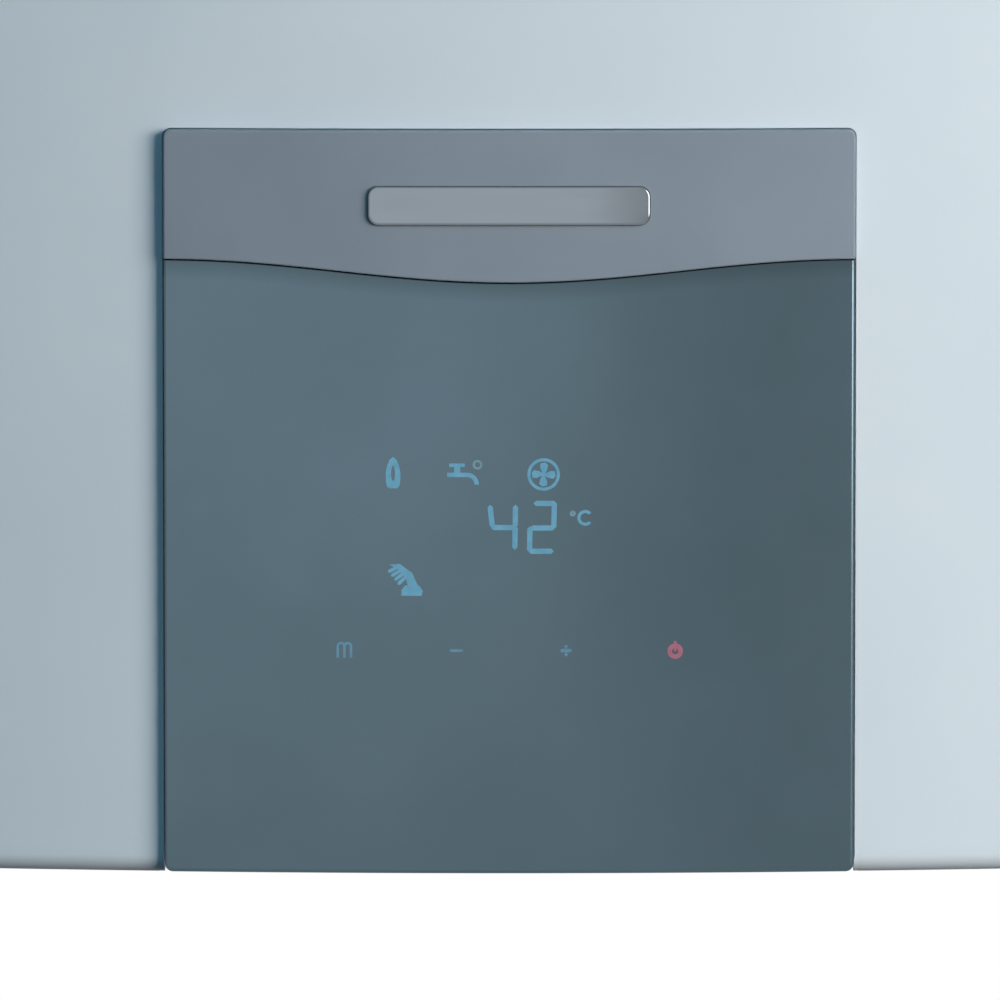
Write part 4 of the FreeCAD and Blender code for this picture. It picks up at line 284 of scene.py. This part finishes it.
SHARP = math.radians(38)
MERGE = 0.001 * MM


def piece(name, bm, slot, material=None, body="chassis"):
    """Finished piece on a body: its mesh in place, in its slot's finish unless it has one of its own."""
    bmesh.ops.remove_doubles(bm, verts=bm.verts, dist=MERGE)
    bmesh.ops.recalc_face_normals(bm, faces=bm.faces)
    mesh = bpy.data.meshes.new(name)
    bm.to_mesh(mesh)
    bm.free()
    mesh.shade_smooth()
    mesh.set_sharp_from_angle(angle=SHARP)
    mesh.materials.append(material or FINISHES[slot])
    made = bpy.data.objects.new(name, mesh)
    scene.collection.objects.link(made)
    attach(made, body)


# Small fittings inside and under the heater. Their sizes and places are in millimetres.


def turned(bm, profile, base, axis, steps=32):
    """Turned shape: a profile of (radius, height) spun about the axis through base. A profile that keeps
    off the axis is closed to a ring."""
    base = Vector(base) * MM
    side = axis.orthogonal().normalized()
    verts = [bm.verts.new(base + (side * radius + axis * height) * MM) for radius, height in profile]
    pairs = list(zip(verts, verts[1:]))
    if min(radius for radius, height in profile) > 0:
        pairs.append((verts[-1], verts[0]))
    edges = [bm.edges.new(pair) for pair in pairs]
    bmesh.ops.spin(
        bm, geom=verts + edges, cent=base, axis=axis, angle=math.tau, steps=steps, use_merge=True
    )


def block(bm, low, high, edge=0.4):
    """Block between two corners, with its edges rounded. Gives its vertices."""
    low = Vector(low) * MM
    high = Vector(high) * MM
    place = Matrix.Translation((low + high) / 2) @ Matrix.Diagonal((high - low).to_4d())
    verts = bmesh.ops.create_cube(bm, size=1.0, matrix=place)["verts"]
    sides = list(dict.fromkeys(side for vert in verts for side in vert.link_edges))
    made = bmesh.ops.bevel(
        bm, geom=sides, offset=edge * MM, affect="EDGES", segments=2, profile=0.5, material=-1
    )
    return list(dict.fromkeys(vert for face in made["faces"] for vert in face.verts))


PAN_HEAD = [(0, 1.7), (1.5, 1.6), (2.4, 1.1), (2.8, 0.2), (2.8, -0.3), (0, -0.3)]
WELD = [(0, 0.35), (1.3, 0.3), (2.2, 0.05), (2.2, -0.2), (0, -0.2)]
NIPPLE = [(0, 9), (1.7, 9), (2.2, 8.4), (2.2, 6), (3.2, 5.6), (4.2, 4.8), (4.2, -0.4), (0, -0.4)]
BOOT = [(2.2, 0), (4.8, 0), (5.2, 0.8), (5.2, 7), (4.3, 9), (4.6, 10)]
BOOT += [(4.0, 12), (4.3, 13), (3.3, 18), (2.2, 18)]
GROMMET = [(2.8, -0.4), (6.2, -0.4), (6.2, 1.6), (4.6, 2.6), (3.8, 6), (2.8, 6)]
BRAZING = [(7.6, -0.5), (10.4, -0.5), (10.2, 0.3), (8.8, 1.3), (8.1, 2.6), (7.6, 2.6)]


def repeated(name, profile, places, axis, slot):
    """One piece of equal turned shapes at several places."""
    bm = bmesh.new()
    for place in places:
        turned(bm, profile, place, axis, 24)
    piece(name, bm, slot)


# Water and gas stubs: axis, lower end of the thread, and a G 1/2 thread's pitch, root and crest
STUBS = ((100, -50), (-100, -50), (0, -62))
THREAD_LOW = -358.9
THREAD_TURNS = 8
THREAD_PITCH = 1.814
THREAD_ROOT = 10.2
THREAD_CREST = 10.9


def stub_threads():
    profile = [(THREAD_ROOT, 0)]
    for turn in range(THREAD_TURNS):
        start = turn * THREAD_PITCH
        profile += [(THREAD_CREST, start + 0.38 * THREAD_PITCH), (THREAD_CREST, start + 0.62 * THREAD_PITCH)]
        profile.append((THREAD_ROOT + 0.25, start + THREAD_PITCH))
    profile.append((THREAD_ROOT, THREAD_TURNS * THREAD_PITCH))
    bm = bmesh.new()
    for x, y in STUBS:
        turned(bm, profile, (x, y, THREAD_LOW), UP, 48)
    piece("stub_threads", bm, "brass")


# Flue: the axis of its two pipes, the collar's outside, the levels of its beads, and each pipe's bore with
# the level of its seal
FLUE_AXIS = (0, -120)
COLLAR_RADIUS = 50.0
BEAD_LEVELS = (356, 368)
PIPE_SEALS = ((48.5, 374), (30.25, 378))


def collar_beads():
    """Two rolled beads that stiffen the air collar."""
    bm = bmesh.new()
    reach = COLLAR_RADIUS
    bead = [(reach - 0.4, -1.8), (reach + 0.6, -1.2), (reach + 1, 0), (reach + 0.6, 1.2), (reach - 0.4, 1.8)]
    for level in BEAD_LEVELS:
        turned(bm, bead, (*FLUE_AXIS, level), UP, 64)
    piece("collar_beads", bm, "flue_enamel")


def pipe_seals():
    """Lip seals in the mouths of the flue spigot and the air collar."""
    bm = bmesh.new()
    for bore, level in PIPE_SEALS:
        lip = [(bore + 0.3, -3), (bore - 0.6, -2.6), (bore - 2.2, -0.6), (bore - 0.9, 0.4), (bore - 0.6, 2.6)]
        turned(bm, lip + [(bore + 0.3, 3)], (*FLUE_AXIS, level), UP, 64)
    piece("pipe_seals", bm, "black_rubber")


# Fan motor: its axis, its front, and the stack of laminations round its middle
MOTOR_X = -50.5
MOTOR_Z = 250.5
MOTOR_FRONT = -195
MOTOR_FLANGE_FRONT = -143.5
MOTOR_RADIUS = 30
STACK_FRONT = 15
STACK_SHEETS = 14
STACK_PITCH = 1.4


def motor_stack():
    profile = [(MOTOR_RADIUS - 0.5, 0)]
    for sheet in range(STACK_SHEETS):
        start = sheet * STACK_PITCH
        profile += [(MOTOR_RADIUS + 1.4, start), (MOTOR_RADIUS + 1.4, start + 0.9)]
        profile += [(MOTOR_RADIUS + 0.8, start + 1.0), (MOTOR_RADIUS + 0.8, start + STACK_PITCH)]
    profile.append((MOTOR_RADIUS - 0.5, STACK_SHEETS * STACK_PITCH))
    bm = bmesh.new()
    turned(bm, profile, (MOTOR_X, MOTOR_FRONT + STACK_FRONT, MOTOR_Z), -FORWARD, 72)
    piece("motor_stack", bm, "stainless")


MOTOR_RIBS = 12
MOTOR_SCREW_CIRCLE = 35.5


def motor_cap():
    """End of the motor: a bearing boss with moulded ribs around it."""
    bm = bmesh.new()
    boss = [(0, 2.4), (5.4, 2.4), (7.4, 2.0), (8.4, 0.8), (8.4, -0.4), (0, -0.4)]
    centre = (MOTOR_X, MOTOR_FRONT, MOTOR_Z)
    turned(bm, boss, centre, FORWARD, 40)
    for number in range(MOTOR_RIBS):
        low = (MOTOR_X + 8, MOTOR_FRONT - 1.2, MOTOR_Z - 0.9)
        high = (MOTOR_X + 25, MOTOR_FRONT + 0.4, MOTOR_Z + 0.9)
        turn = Matrix.Rotation(math.tau * number / MOTOR_RIBS, 3, "Y")
        bmesh.ops.rotate(bm, verts=block(bm, low, high, 0.5), cent=Vector(centre) * MM, matrix=turn)
    piece("motor_cap", bm, "black_plastic")


def motor_screws():
    """Three screws in the motor's flange, between its posts."""
    places = []
    for number in range(3):
        out = Matrix.Rotation(math.radians(30 + 120 * number), 3, "Y") @ Vector((MOTOR_SCREW_CIRCLE, 0, 0))
        places.append(Vector((MOTOR_X, MOTOR_FLANGE_FRONT, MOTOR_Z)) + out)
    repeated("motor_screws", PAN_HEAD, places, FORWARD, "stainless")


# Air pressure switch: its axis and its front
SWITCH_X = 82
SWITCH_Z = 250.5
SWITCH_FRONT = -125


def switch_rim():
    bm = bmesh.new()
    rim = [(21.4, -0.3), (21.4, 1.2), (22.2, 1.8), (24.2, 1.8), (25, 1.2), (25, -0.3)]
    turned(bm, rim, (SWITCH_X, SWITCH_FRONT, SWITCH_Z), FORWARD, 56)
    piece("switch_rim", bm, "white_plastic")


def switch_terminals():
    """Three spade terminals low on the pressure switch."""
    bm = bmesh.new()
    for x in (SWITCH_X - 9, SWITCH_X, SWITCH_X + 9):
        low = (x - 3.1, SWITCH_FRONT - 7.5, SWITCH_Z - 17.4)
        block(bm, low, (x + 3.1, SWITCH_FRONT + 0.5, SWITCH_Z - 16.6), 0.2)
    piece("switch_terminals", bm, "brass")


SPARK_RIBS = range(-126, -80, 8)


def spark_ribs():
    """Ribs on the outer side of the ignition transformer."""
    bm = bmesh.new()
    for y in SPARK_RIBS:
        block(bm, (145.6, y, -137), (147.2, y + 2.4, -92), 0.5)
    piece("spark_ribs", bm, "black_plastic")


# Ignition leads: their ends on the electrodes and on the transformer
ELECTRODE_Z = -63
LEAD_ENDS = [(x, -181, ELECTRODE_Z) for x in (-44, -22, 22)]
SPARK_OUTLETS = [(129, -130, -100.75), (129, -130, -122.75)]


def coil_plugs():
    """Moulded plugs on the spade terminals of the three gas coils."""
    bm = bmesh.new()
    for x in (-20, 20):
        block(bm, (x - 7, -139, -250), (x + 7, -126.5, -234), 1.0)
        block(bm, (x - 2.5, -137, -234.5), (x + 2.5, -128.5, -232.6), 0.5)
    block(bm, (-87, -69, -250), (-74.5, -55, -234), 1.0)
    block(bm, (-85, -64.5, -234.5), (-76.5, -59.5, -232.6), 0.5)
    piece("coil_plugs", bm, "white_plastic")


# Fan cable: where it runs upright, and the levels of its ties
CABLE_X = 152
CABLE_Y = -150
TIE_LEVELS = range(-130, 180, 60)
TIE = [(2.8, -1.3), (3.8, -1.3), (3.8, 1.3), (2.8, 1.3)]


def cable_ties():
    """Ties along the fan's cable, each with its square head."""
    bm = bmesh.new()
    for z in TIE_LEVELS:
        turned(bm, TIE, (CABLE_X, CABLE_Y, z), UP, 24)
        block(bm, (CABLE_X + 3.2, CABLE_Y - 2.2, z - 2), (CABLE_X + 6.6, CABLE_Y + 2.2, z + 2), 0.5)
    piece("cable_ties", bm, "white_plastic")


# Heat exchanger: the shell's half width and front, and the row of tubes through it
SHELL_SIDE = 112
SHELL_FRONT = -164
TUBE_Z = 96.5
TUBE_ROW = range(-150, -40, 20)


def brazing_rings():
    """Fillets of brazing metal where the exchanger's tubes leave the shell."""
    bm = bmesh.new()
    for y in TUBE_ROW:
        turned(bm, BRAZING, (SHELL_SIDE, y, TUBE_Z), RIGHT, 32)
        turned(bm, BRAZING, (-SHELL_SIDE, y, TUBE_Z), -RIGHT, 32)
    piece("brazing_rings", bm, "brass")


LIP_TOPS = (-53.8, 133.7)
LIP_SCREWS = [(x, SHELL_FRONT - 3, z) for z in LIP_TOPS for x in range(-100, 101, 40)]
SEAM_WELDS = [(side * 101, SHELL_FRONT, z) for side in (-1, 1) for z in range(-42, 125, 18)]

# Gas valve: screws at the corners of its face, and two test nipples
VALVE_FRONT = -92
VALVE_SCREWS = [(x, VALVE_FRONT, z) for x in (-33, 33) for z in (-281, -217)]
VALVE_NIPPLES = [(x, VALVE_FRONT, -271) for x in (-12, 12)]

# Control box: its half width, its back, where the leads leave it, and the levels of its ribs
BOX_SIDE = 73.5
BOX_BACK = -182
BOX_OUTLETS = [(-20, BOX_BACK, -298), (20, BOX_BACK, -298), (58.5, BOX_BACK, -237), (58.5, BOX_BACK, -217)]
BOX_RIBS = range(-316, -190, 9)


def box_ribs():
    """Ribs along both sides of the control box."""
    bm = bmesh.new()
    for z in BOX_RIBS:
        for x in (-BOX_SIDE, BOX_SIDE):
            block(bm, (x - 0.9, -224, z - 1), (x + 0.9, -190, z + 1), 0.4)
    piece("box_ribs", bm, "grey_plastic")


# Enamel hem: how far it runs from the casing's middle, the level and radius of the fold under it, its own
# thickness, and its upper edge, which thins out on the front
HEM_RUN = (80.2, 145)
HEM_LEVEL = -336
HEM_FOLD = 4
HEM_SKIN = 0.05
HEM_RISE = 3
HEM_EDGE = 0.01
HEM_STEPS = 12
HEM_COLUMNS = 40


def enamel_hem():
    """Enamel gathered along the folded lower edge of the casing, either side of the panel. It also covers a
    streak in the casing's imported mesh, where triangles fold over each other."""
    bow = BOW_RADIUS / MM
    axis = Vector((0, BOW_RADIUS - CASE_FRONT, 0))
    outline = [(bow + HEM_EDGE, HEM_LEVEL + HEM_RISE)]
    for step in range(HEM_STEPS + 1):
        turn = math.pi / 2 * step / HEM_STEPS
        reach = HEM_FOLD + HEM_SKIN
        outline.append((bow - HEM_FOLD + reach * math.cos(turn), HEM_LEVEL - reach * math.sin(turn)))
    first, last = [math.asin(x / bow) for x in HEM_RUN]
    bm = bmesh.new()
    for side in (-1, 1):
        start = Matrix.Rotation(side * first, 3, "Z")
        verts = [bm.verts.new(axis + start @ Vector((0, -radius, z)) * MM) for radius, z in outline]
        edges = [bm.edges.new(pair) for pair in zip(verts, verts[1:])]
        sweep = side * (last - first)
        bmesh.ops.spin(bm, geom=verts + edges, cent=axis, axis=UP, angle=sweep, steps=HEM_COLUMNS)
    bmesh.ops.recalc_face_normals(bm, faces=bm.faces)
    bmesh.ops.solidify(bm, geom=bm.faces, thickness=HEM_SKIN * MM / 2)
    piece("enamel_hem", bm, "silver_paint", body="casing")


def fit_details():
    """All small fittings."""
    stub_threads()
    collar_beads()
    pipe_seals()
    motor_stack()
    motor_cap()
    motor_screws()
    switch_rim()
    switch_terminals()
    spark_ribs()
    coil_plugs()
    cable_ties()
    brazing_rings()
    box_ribs()
    enamel_hem()
    repeated("lead_boots", BOOT, LEAD_ENDS + SPARK_OUTLETS, FORWARD, "black_rubber")
    repeated("lip_screws", PAN_HEAD, LIP_SCREWS, UP, "stainless")
    repeated("seam_welds", WELD, SEAM_WELDS, FORWARD, "copper")
    repeated("valve_screws", PAN_HEAD, VALVE_SCREWS, FORWARD, "stainless")
    repeated("valve_nipples", NIPPLE, VALVE_NIPPLES, FORWARD, "brass")
    repeated("box_grommets", GROMMET, BOX_OUTLETS, -FORWARD, "black_rubber")


# Symbols on the glass. They are drawn flat, in millimetres right of the panel's middle and above a level
# near its lower edge, and then laid on the bowed glass.
SYMBOL_LEVEL = -338.9 * MM
SYMBOL_PROUD = 0.05
SYMBOL_SKIN = 0.03


def drawn(bm, outline):
    """Flat patch with this outline."""
    return bm.faces.new([bm.verts.new((x, 0, z)) for x, z in outline])


def bar(bm, start, end, width):
    """Straight stroke with pointed ends, as in a segment of a digit."""
    start = Vector((start[0], 0, start[1]))
    end = Vector((end[0], 0, end[1]))
    along = (end - start).normalized() * (width / 2)
    side = Vector((-along.z, 0, along.x))
    corners = [start, start + along + side, end - along + side, end, end - along - side, start + along - side]
    return bm.faces.new([bm.verts.new(corner) for corner in corners])


def arc(bm, centre, radius, width, first=0.0, sweep=360.0, steps=32):
    """Stroke along a circle, from an angle in degrees through a sweep, counted from the right upwards."""
    middle = Vector((centre[0], 0, centre[1]))
    turn = Matrix.Rotation(-math.radians(first), 3, "Y")
    ends = [bm.verts.new(middle + turn @ Vector((radius + half, 0, 0))) for half in (-width / 2, width / 2)]
    edge = bm.edges.new(ends)
    bmesh.ops.spin(
        bm,
        geom=[*ends, edge],
        cent=middle,
        axis=(0, -1, 0),
        angle=math.radians(sweep),
        steps=steps,
        use_merge=sweep == 360.0,
    )


def symbol(name, draw, material):
    """Lit symbol: draw puts its flat strokes into a bmesh, which is laid on the glass as a thin skin."""
    bm = bmesh.new()
    draw(bm)
    bmesh.ops.recalc_face_normals(bm, faces=bm.faces)
    for face in bm.faces:
        if face.normal.y > 0:
            face.normal_flip()
    bmesh.ops.solidify(bm, geom=bm.faces, thickness=SYMBOL_SKIN)
    bmesh.ops.recalc_face_normals(bm, faces=bm.faces)
    radius = BOW_RADIUS + GLASS_PROUD
    for vert in bm.verts:
        x = vert.co.x * MM
        front = CASE_FRONT - BOW_RADIUS + math.sqrt(radius**2 - x**2)
        height = vert.co.z * MM + SYMBOL_LEVEL
        vert.co = (x, -front + (vert.co.y - SYMBOL_PROUD) * MM, height)
    piece(name, bm, "tinted_glass", material)


DIGIT_STROKE = 1.2


def draw_four(bm):
    bar(bm, (-4.4, 83.9), (-3.8, 78.6), DIGIT_STROKE)
    bar(bm, (-4.2, 78.7), (1.8, 78.7), DIGIT_STROKE)
    bar(bm, (1.4, 83.9), (1.35, 78.6), DIGIT_STROKE)
    bar(bm, (1.35, 79.2), (1.25, 73.6), DIGIT_STROKE)


def draw_two(bm):
    bar(bm, (5.5, 84.2), (10.7, 84.2), DIGIT_STROKE)
    bar(bm, (10.25, 84.7), (10.1, 78.3), DIGIT_STROKE)
    bar(bm, (4.7, 78.6), (10.4, 78.6), DIGIT_STROKE)
    bar(bm, (4.7, 79.0), (4.6, 73.0), DIGIT_STROKE)
    bar(bm, (4.3, 73.3), (10.1, 73.3), DIGIT_STROKE)


def draw_letter_c(bm):
    arc(bm, (17.25, 80.9), 1.45, 0.7, first=42, sweep=276)


def draw_degree(bm):
    arc(bm, (14.4, 81.9), 0.4, 0.6, steps=16)


# Flame: half of its outline from the tip down, and the dark slit inside it
FLAME_AT = (-26.35, 91.2)
FLAME = [(0.0, 3.6), (0.8, 2.9), (1.35, 1.6), (1.65, 0.0), (1.65, -1.8), (1.4, -3.1), (0.9, -3.6)]
SLIT = [(0.0, 1.7), (0.25, 1.2), (0.45, 0.3), (0.45, -0.7), (0.3, -1.6), (0.0, -2.0)]


def draw_flame(bm):
    """Two halves, each from the outline to the slit and along the middle above and below it."""
    x, z = FLAME_AT
    half = FLAME + [(0.0, -3.6)] + SLIT[::-1]
    for side in (-1, 1):
        drawn(bm, [(x + side * dx, z + dz) for dx, dz in half])


def draw_tap(bm):
    drawn(bm, [(-13.6, 92.5), (-10.1, 92.5), (-10.1, 93.3), (-13.6, 93.3)])
    drawn(bm, [(-12.5, 91.2), (-11.1, 91.2), (-11.1, 92.5), (-12.5, 92.5)])
    drawn(bm, [(-14.1, 90.2), (-9.6, 90.2), (-9.6, 91.2), (-14.1, 91.2)])
    arc(bm, (-9.6, 88.5), 2.2, 1.0, first=0, sweep=90, steps=10)


def draw_drop(bm):
    arc(bm, (-7.2, 93.0), 0.85, 0.5, steps=20)


FAN_AT = (7.8, 90.8)
BLADE = [(0, -0.2), (1, -0.75), (2.2, -1), (2.75, -0.3), (2.5, 0.75), (1.6, 0.8), (0.6, 0.35), (0, 0.2)]


def draw_fan(bm):
    arc(bm, FAN_AT, 3.35, 0.7, steps=40)
    for quarter in range(4):
        turn = Matrix.Rotation(math.radians(90 * quarter), 2)
        drawn(bm, [tuple(Vector(FAN_AT) + turn @ Vector(point)) for point in BLADE])


PALM = [(-27.2, 70.2), (-24.9, 70.4), (-22, 68.3), (-20.7, 65.3), (-22.9, 65), (-23.6, 67.4), (-25.6, 69.4)]
CUFF = [(-24.5, 63.1), (-19.9, 63.1), (-19.6, 64.2), (-20.4, 65.4), (-23.6, 65.5), (-24.5, 64.4)]


def draw_hands(bm):
    for finger in range(4):
        tip = (-27.6 + 0.75 * finger, 68.5 - 0.95 * finger)
        knuckle = (-25.0 + 0.55 * finger, 69.8 - 0.75 * finger)
        bar(bm, tip, knuckle, 0.8)
    drawn(bm, PALM)
    drawn(bm, CUFF)


def draw_menu_key(bm):
    x, z = -37.45, 48.9
    stroke = 0.3
    for stem in (-1.5, 0.0, 1.5):
        left, right = x + stem - stroke, x + stem + stroke
        drawn(bm, [(left, z), (right, z), (right, z + 2.6), (left, z + 2.6)])
    for middle in (-0.75, 0.75):
        arc(bm, (x + middle, z + 2.6), 0.75, 2 * stroke, first=0, sweep=180, steps=12)


def draw_minus_key(bm):
    bar(bm, (-13.6, 50.6), (-10.4, 50.6), 0.65)


def draw_plus_key(bm):
    bar(bm, (11.5, 50.6), (14.3, 50.6), 0.85)
    bar(bm, (12.9, 49.2), (12.9, 50.2), 0.85)
    bar(bm, (12.9, 51.0), (12.9, 52.0), 0.85)


def draw_power_key(bm):
    arc(bm, (37.7, 50.4), 1.25, 1.05, steps=28)
    drawn(bm, [(37.4, 50.4), (38.0, 50.4), (38.0, 52.7), (37.4, 52.7)])


SYMBOLS = {
    "digit_four": (draw_four, LIT_BLUE),
    "digit_two": (draw_two, LIT_BLUE),
    "degree_ring": (draw_degree, LIT_PALE),
    "letter_c": (draw_letter_c, LIT_BLUE),
    "flame_symbol": (draw_flame, LIT_BLUE),
    "tap_symbol": (draw_tap, LIT_BLUE),
    "tap_drop": (draw_drop, LIT_PALE),
    "fan_symbol": (draw_fan, LIT_BLUE),
    "hands_symbol": (draw_hands, LIT_BLUE),
    "menu_key": (draw_menu_key, LIT_DIM),
    "minus_key": (draw_minus_key, LIT_DIM),
    "plus_key": (draw_plus_key, LIT_DIM),
    "power_key": (draw_power_key, LIT_RED),
}


# Studio: a white room, a wide soft lamp at the right, one behind for the far sides, and one before the object
# for the glass alone
ROOM_FRONT = "#528aa1"
ROOM_FRONT_LOW = "#1c242a"
ROOM_BEHIND = "#c3c7ca"
ROOM_BEHIND_LOW = "#5a5e62"

# Where the room's light changes, as parts of a direction: from low to high, and from front to behind
LOW_TO_HIGH = (-0.15, 0.3)
FRONT_TO_BEHIND = (-0.05, 0.35)

# Lamps: place, the point that it faces, width, height, watts and tint
KEY_LAMP = ((0.98, -1.2, 0.02), (0, -0.22, -0.1), 0.9, 0.8, 21.5, "#fff6ee")
RIM_LAMP = ((-1.0, 0.7, 0.9), (0, -0.1, 0), 1.0, 1.0, 14.0, "#fffdfa")
GLASS_LAMP = ((-0.72, -2.6, 0.1), (0, -0.24, -0.2), 2.0, 1.5, 6.7, "#f3f7fb")

# Floor: its tone, its depth under the object, its glow near the object, and where that fades to white
FLOOR_TONE = "#eceded"
FLOOR_DROP = 0.45
FLOOR_GLOW = 0.7
FLOOR_FADE = (0.9, 2.2)
FLOOR_RADIUS = 4.0


def light_room():
    """Room light: cool before the object, neutral behind it, dim low down, and plain white where it is seen
    or mirrored."""
    world = bpy.data.worlds.new("studio")
    scene.world = world
    world.use_nodes = True
    tree = world.node_tree
    tree.nodes.clear()
    path = add(tree, "ShaderNodeLightPath").outputs
    seen = path["Is Camera Ray"]
    for ray in ("Is Glossy Ray", "Is Transmission Ray"):
        seen = add(tree, "ShaderNodeMath", {0: seen, 1: path[ray]}, operation="MAXIMUM").outputs[0]
    way = add(tree, "ShaderNodeSeparateXYZ", {"Vector": add(tree, "ShaderNodeTexCoord").outputs["Generated"]})
    rise = spread(tree, way.outputs["Z"], 0, 1, *LOW_TO_HIGH)
    front = toned(tree, rise, ROOM_FRONT_LOW, ROOM_FRONT)
    behind = toned(tree, rise, ROOM_BEHIND_LOW, ROOM_BEHIND)
    back = spread(tree, way.outputs["Y"], 0, 1, *FRONT_TO_BEHIND)
    light = add(tree, "ShaderNodeMix", {0: back, 6: front, 7: behind}, data_type="RGBA").outputs[2]
    white = {0: seen, 6: light, 7: (1.0, 1.0, 1.0, 1.0)}
    colour = add(tree, "ShaderNodeMix", white, data_type="RGBA").outputs[2]
    backdrop = add(tree, "ShaderNodeBackground", {"Color": colour, "Strength": 1.0})
    add(tree, "ShaderNodeOutputWorld", {"Surface": backdrop.outputs["Background"]})


def lamp(name, place, target, width, height, watts, tint):
    """Soft rectangular lamp that faces a point and is never seen itself."""
    data = bpy.data.lights.new(name, "AREA")
    data.shape = "RECTANGLE"
    data.size = width
    data.size_y = height
    data.energy = watts
    data.color = linear(tint)[:3]
    made = bpy.data.objects.new(name, data)
    made.location = place
    made.rotation_euler = (Vector(target) - Vector(place)).to_track_quat("-Z", "Y").to_euler()
    made.visible_camera = False
    scene.collection.objects.link(made)
    return made


def lay_floor():
    """Pale floor that shows the object's shadow and fades into the white room. It is seen from above only."""
    material = bpy.data.materials.new("studio_floor")
    material.use_nodes = True
    tree = material.node_tree
    tree.nodes.clear()
    geometry = add(tree, "ShaderNodeNewGeometry").outputs
    away = add(tree, "ShaderNodeVectorMath", {0: geometry["Position"]}, operation="LENGTH")
    fade = spread(tree, away.outputs["Value"], FLOOR_GLOW, 1, *FLOOR_FADE)
    plain = add(tree, "ShaderNodeBsdfDiffuse", {"Color": linear(FLOOR_TONE)})
    white = add(tree, "ShaderNodeEmission", {"Strength": 1.0})
    shown = {0: fade, 1: plain.outputs["BSDF"], 2: white.outputs["Emission"]}
    shown = add(tree, "ShaderNodeMixShader", shown)
    clear = add(tree, "ShaderNodeBsdfTransparent")
    sides = {0: geometry["Backfacing"], 1: shown.outputs["Shader"], 2: clear.outputs["BSDF"]}
    sides = add(tree, "ShaderNodeMixShader", sides)
    add(tree, "ShaderNodeOutputMaterial", {"Surface": sides.outputs["Shader"]})
    bm = bmesh.new()
    level = Matrix.Translation((0, 0, cad_low.z - FLOOR_DROP))
    bmesh.ops.create_circle(bm, cap_ends=True, segments=96, radius=FLOOR_RADIUS, matrix=level)
    mesh = bpy.data.meshes.new("floor")
    bm.to_mesh(mesh)
    bm.free()
    mesh.materials.append(material)
    floor = bpy.data.objects.new("floor", mesh)
    floor.visible_diffuse = False
    floor.visible_glossy = False
    floor.visible_transmission = False
    floor.visible_shadow = False
    scene.collection.objects.link(floor)


# Camera: level with the casing's middle, 2.58 m before its front, aimed at the panel below
CAMERA_AT = Vector((-2.1 * MM, -2.82, 0.0))
CAMERA_AIM = Vector((-2.1 * MM, -0.24, -254.2 * MM))
LENS = 411.0
SENSOR_WIDTH = 36.0
FAR_LIMIT = 100.0


def set_camera():
    data = bpy.data.cameras.new("camera")
    data.lens = LENS
    data.sensor_width = SENSOR_WIDTH
    data.clip_end = FAR_LIMIT
    made = bpy.data.objects.new("camera", data)
    made.location = CAMERA_AT
    made.rotation_euler = (CAMERA_AIM - CAMERA_AT).to_track_quat("-Z", "Y").to_euler()
    scene.collection.objects.link(made)
    scene.camera = made


dress_solids()
fit_details()
for name, (draw, material) in SYMBOLS.items():
    symbol(name, draw, material)

scene.view_settings.view_transform = "Standard"
set_camera()
light_room()
lamp("key_lamp", *KEY_LAMP)
lamp("rim_lamp", *RIM_LAMP)
mirrored = lamp("glass_lamp", *GLASS_LAMP)
mirrored.visible_diffuse = False
lay_floor()
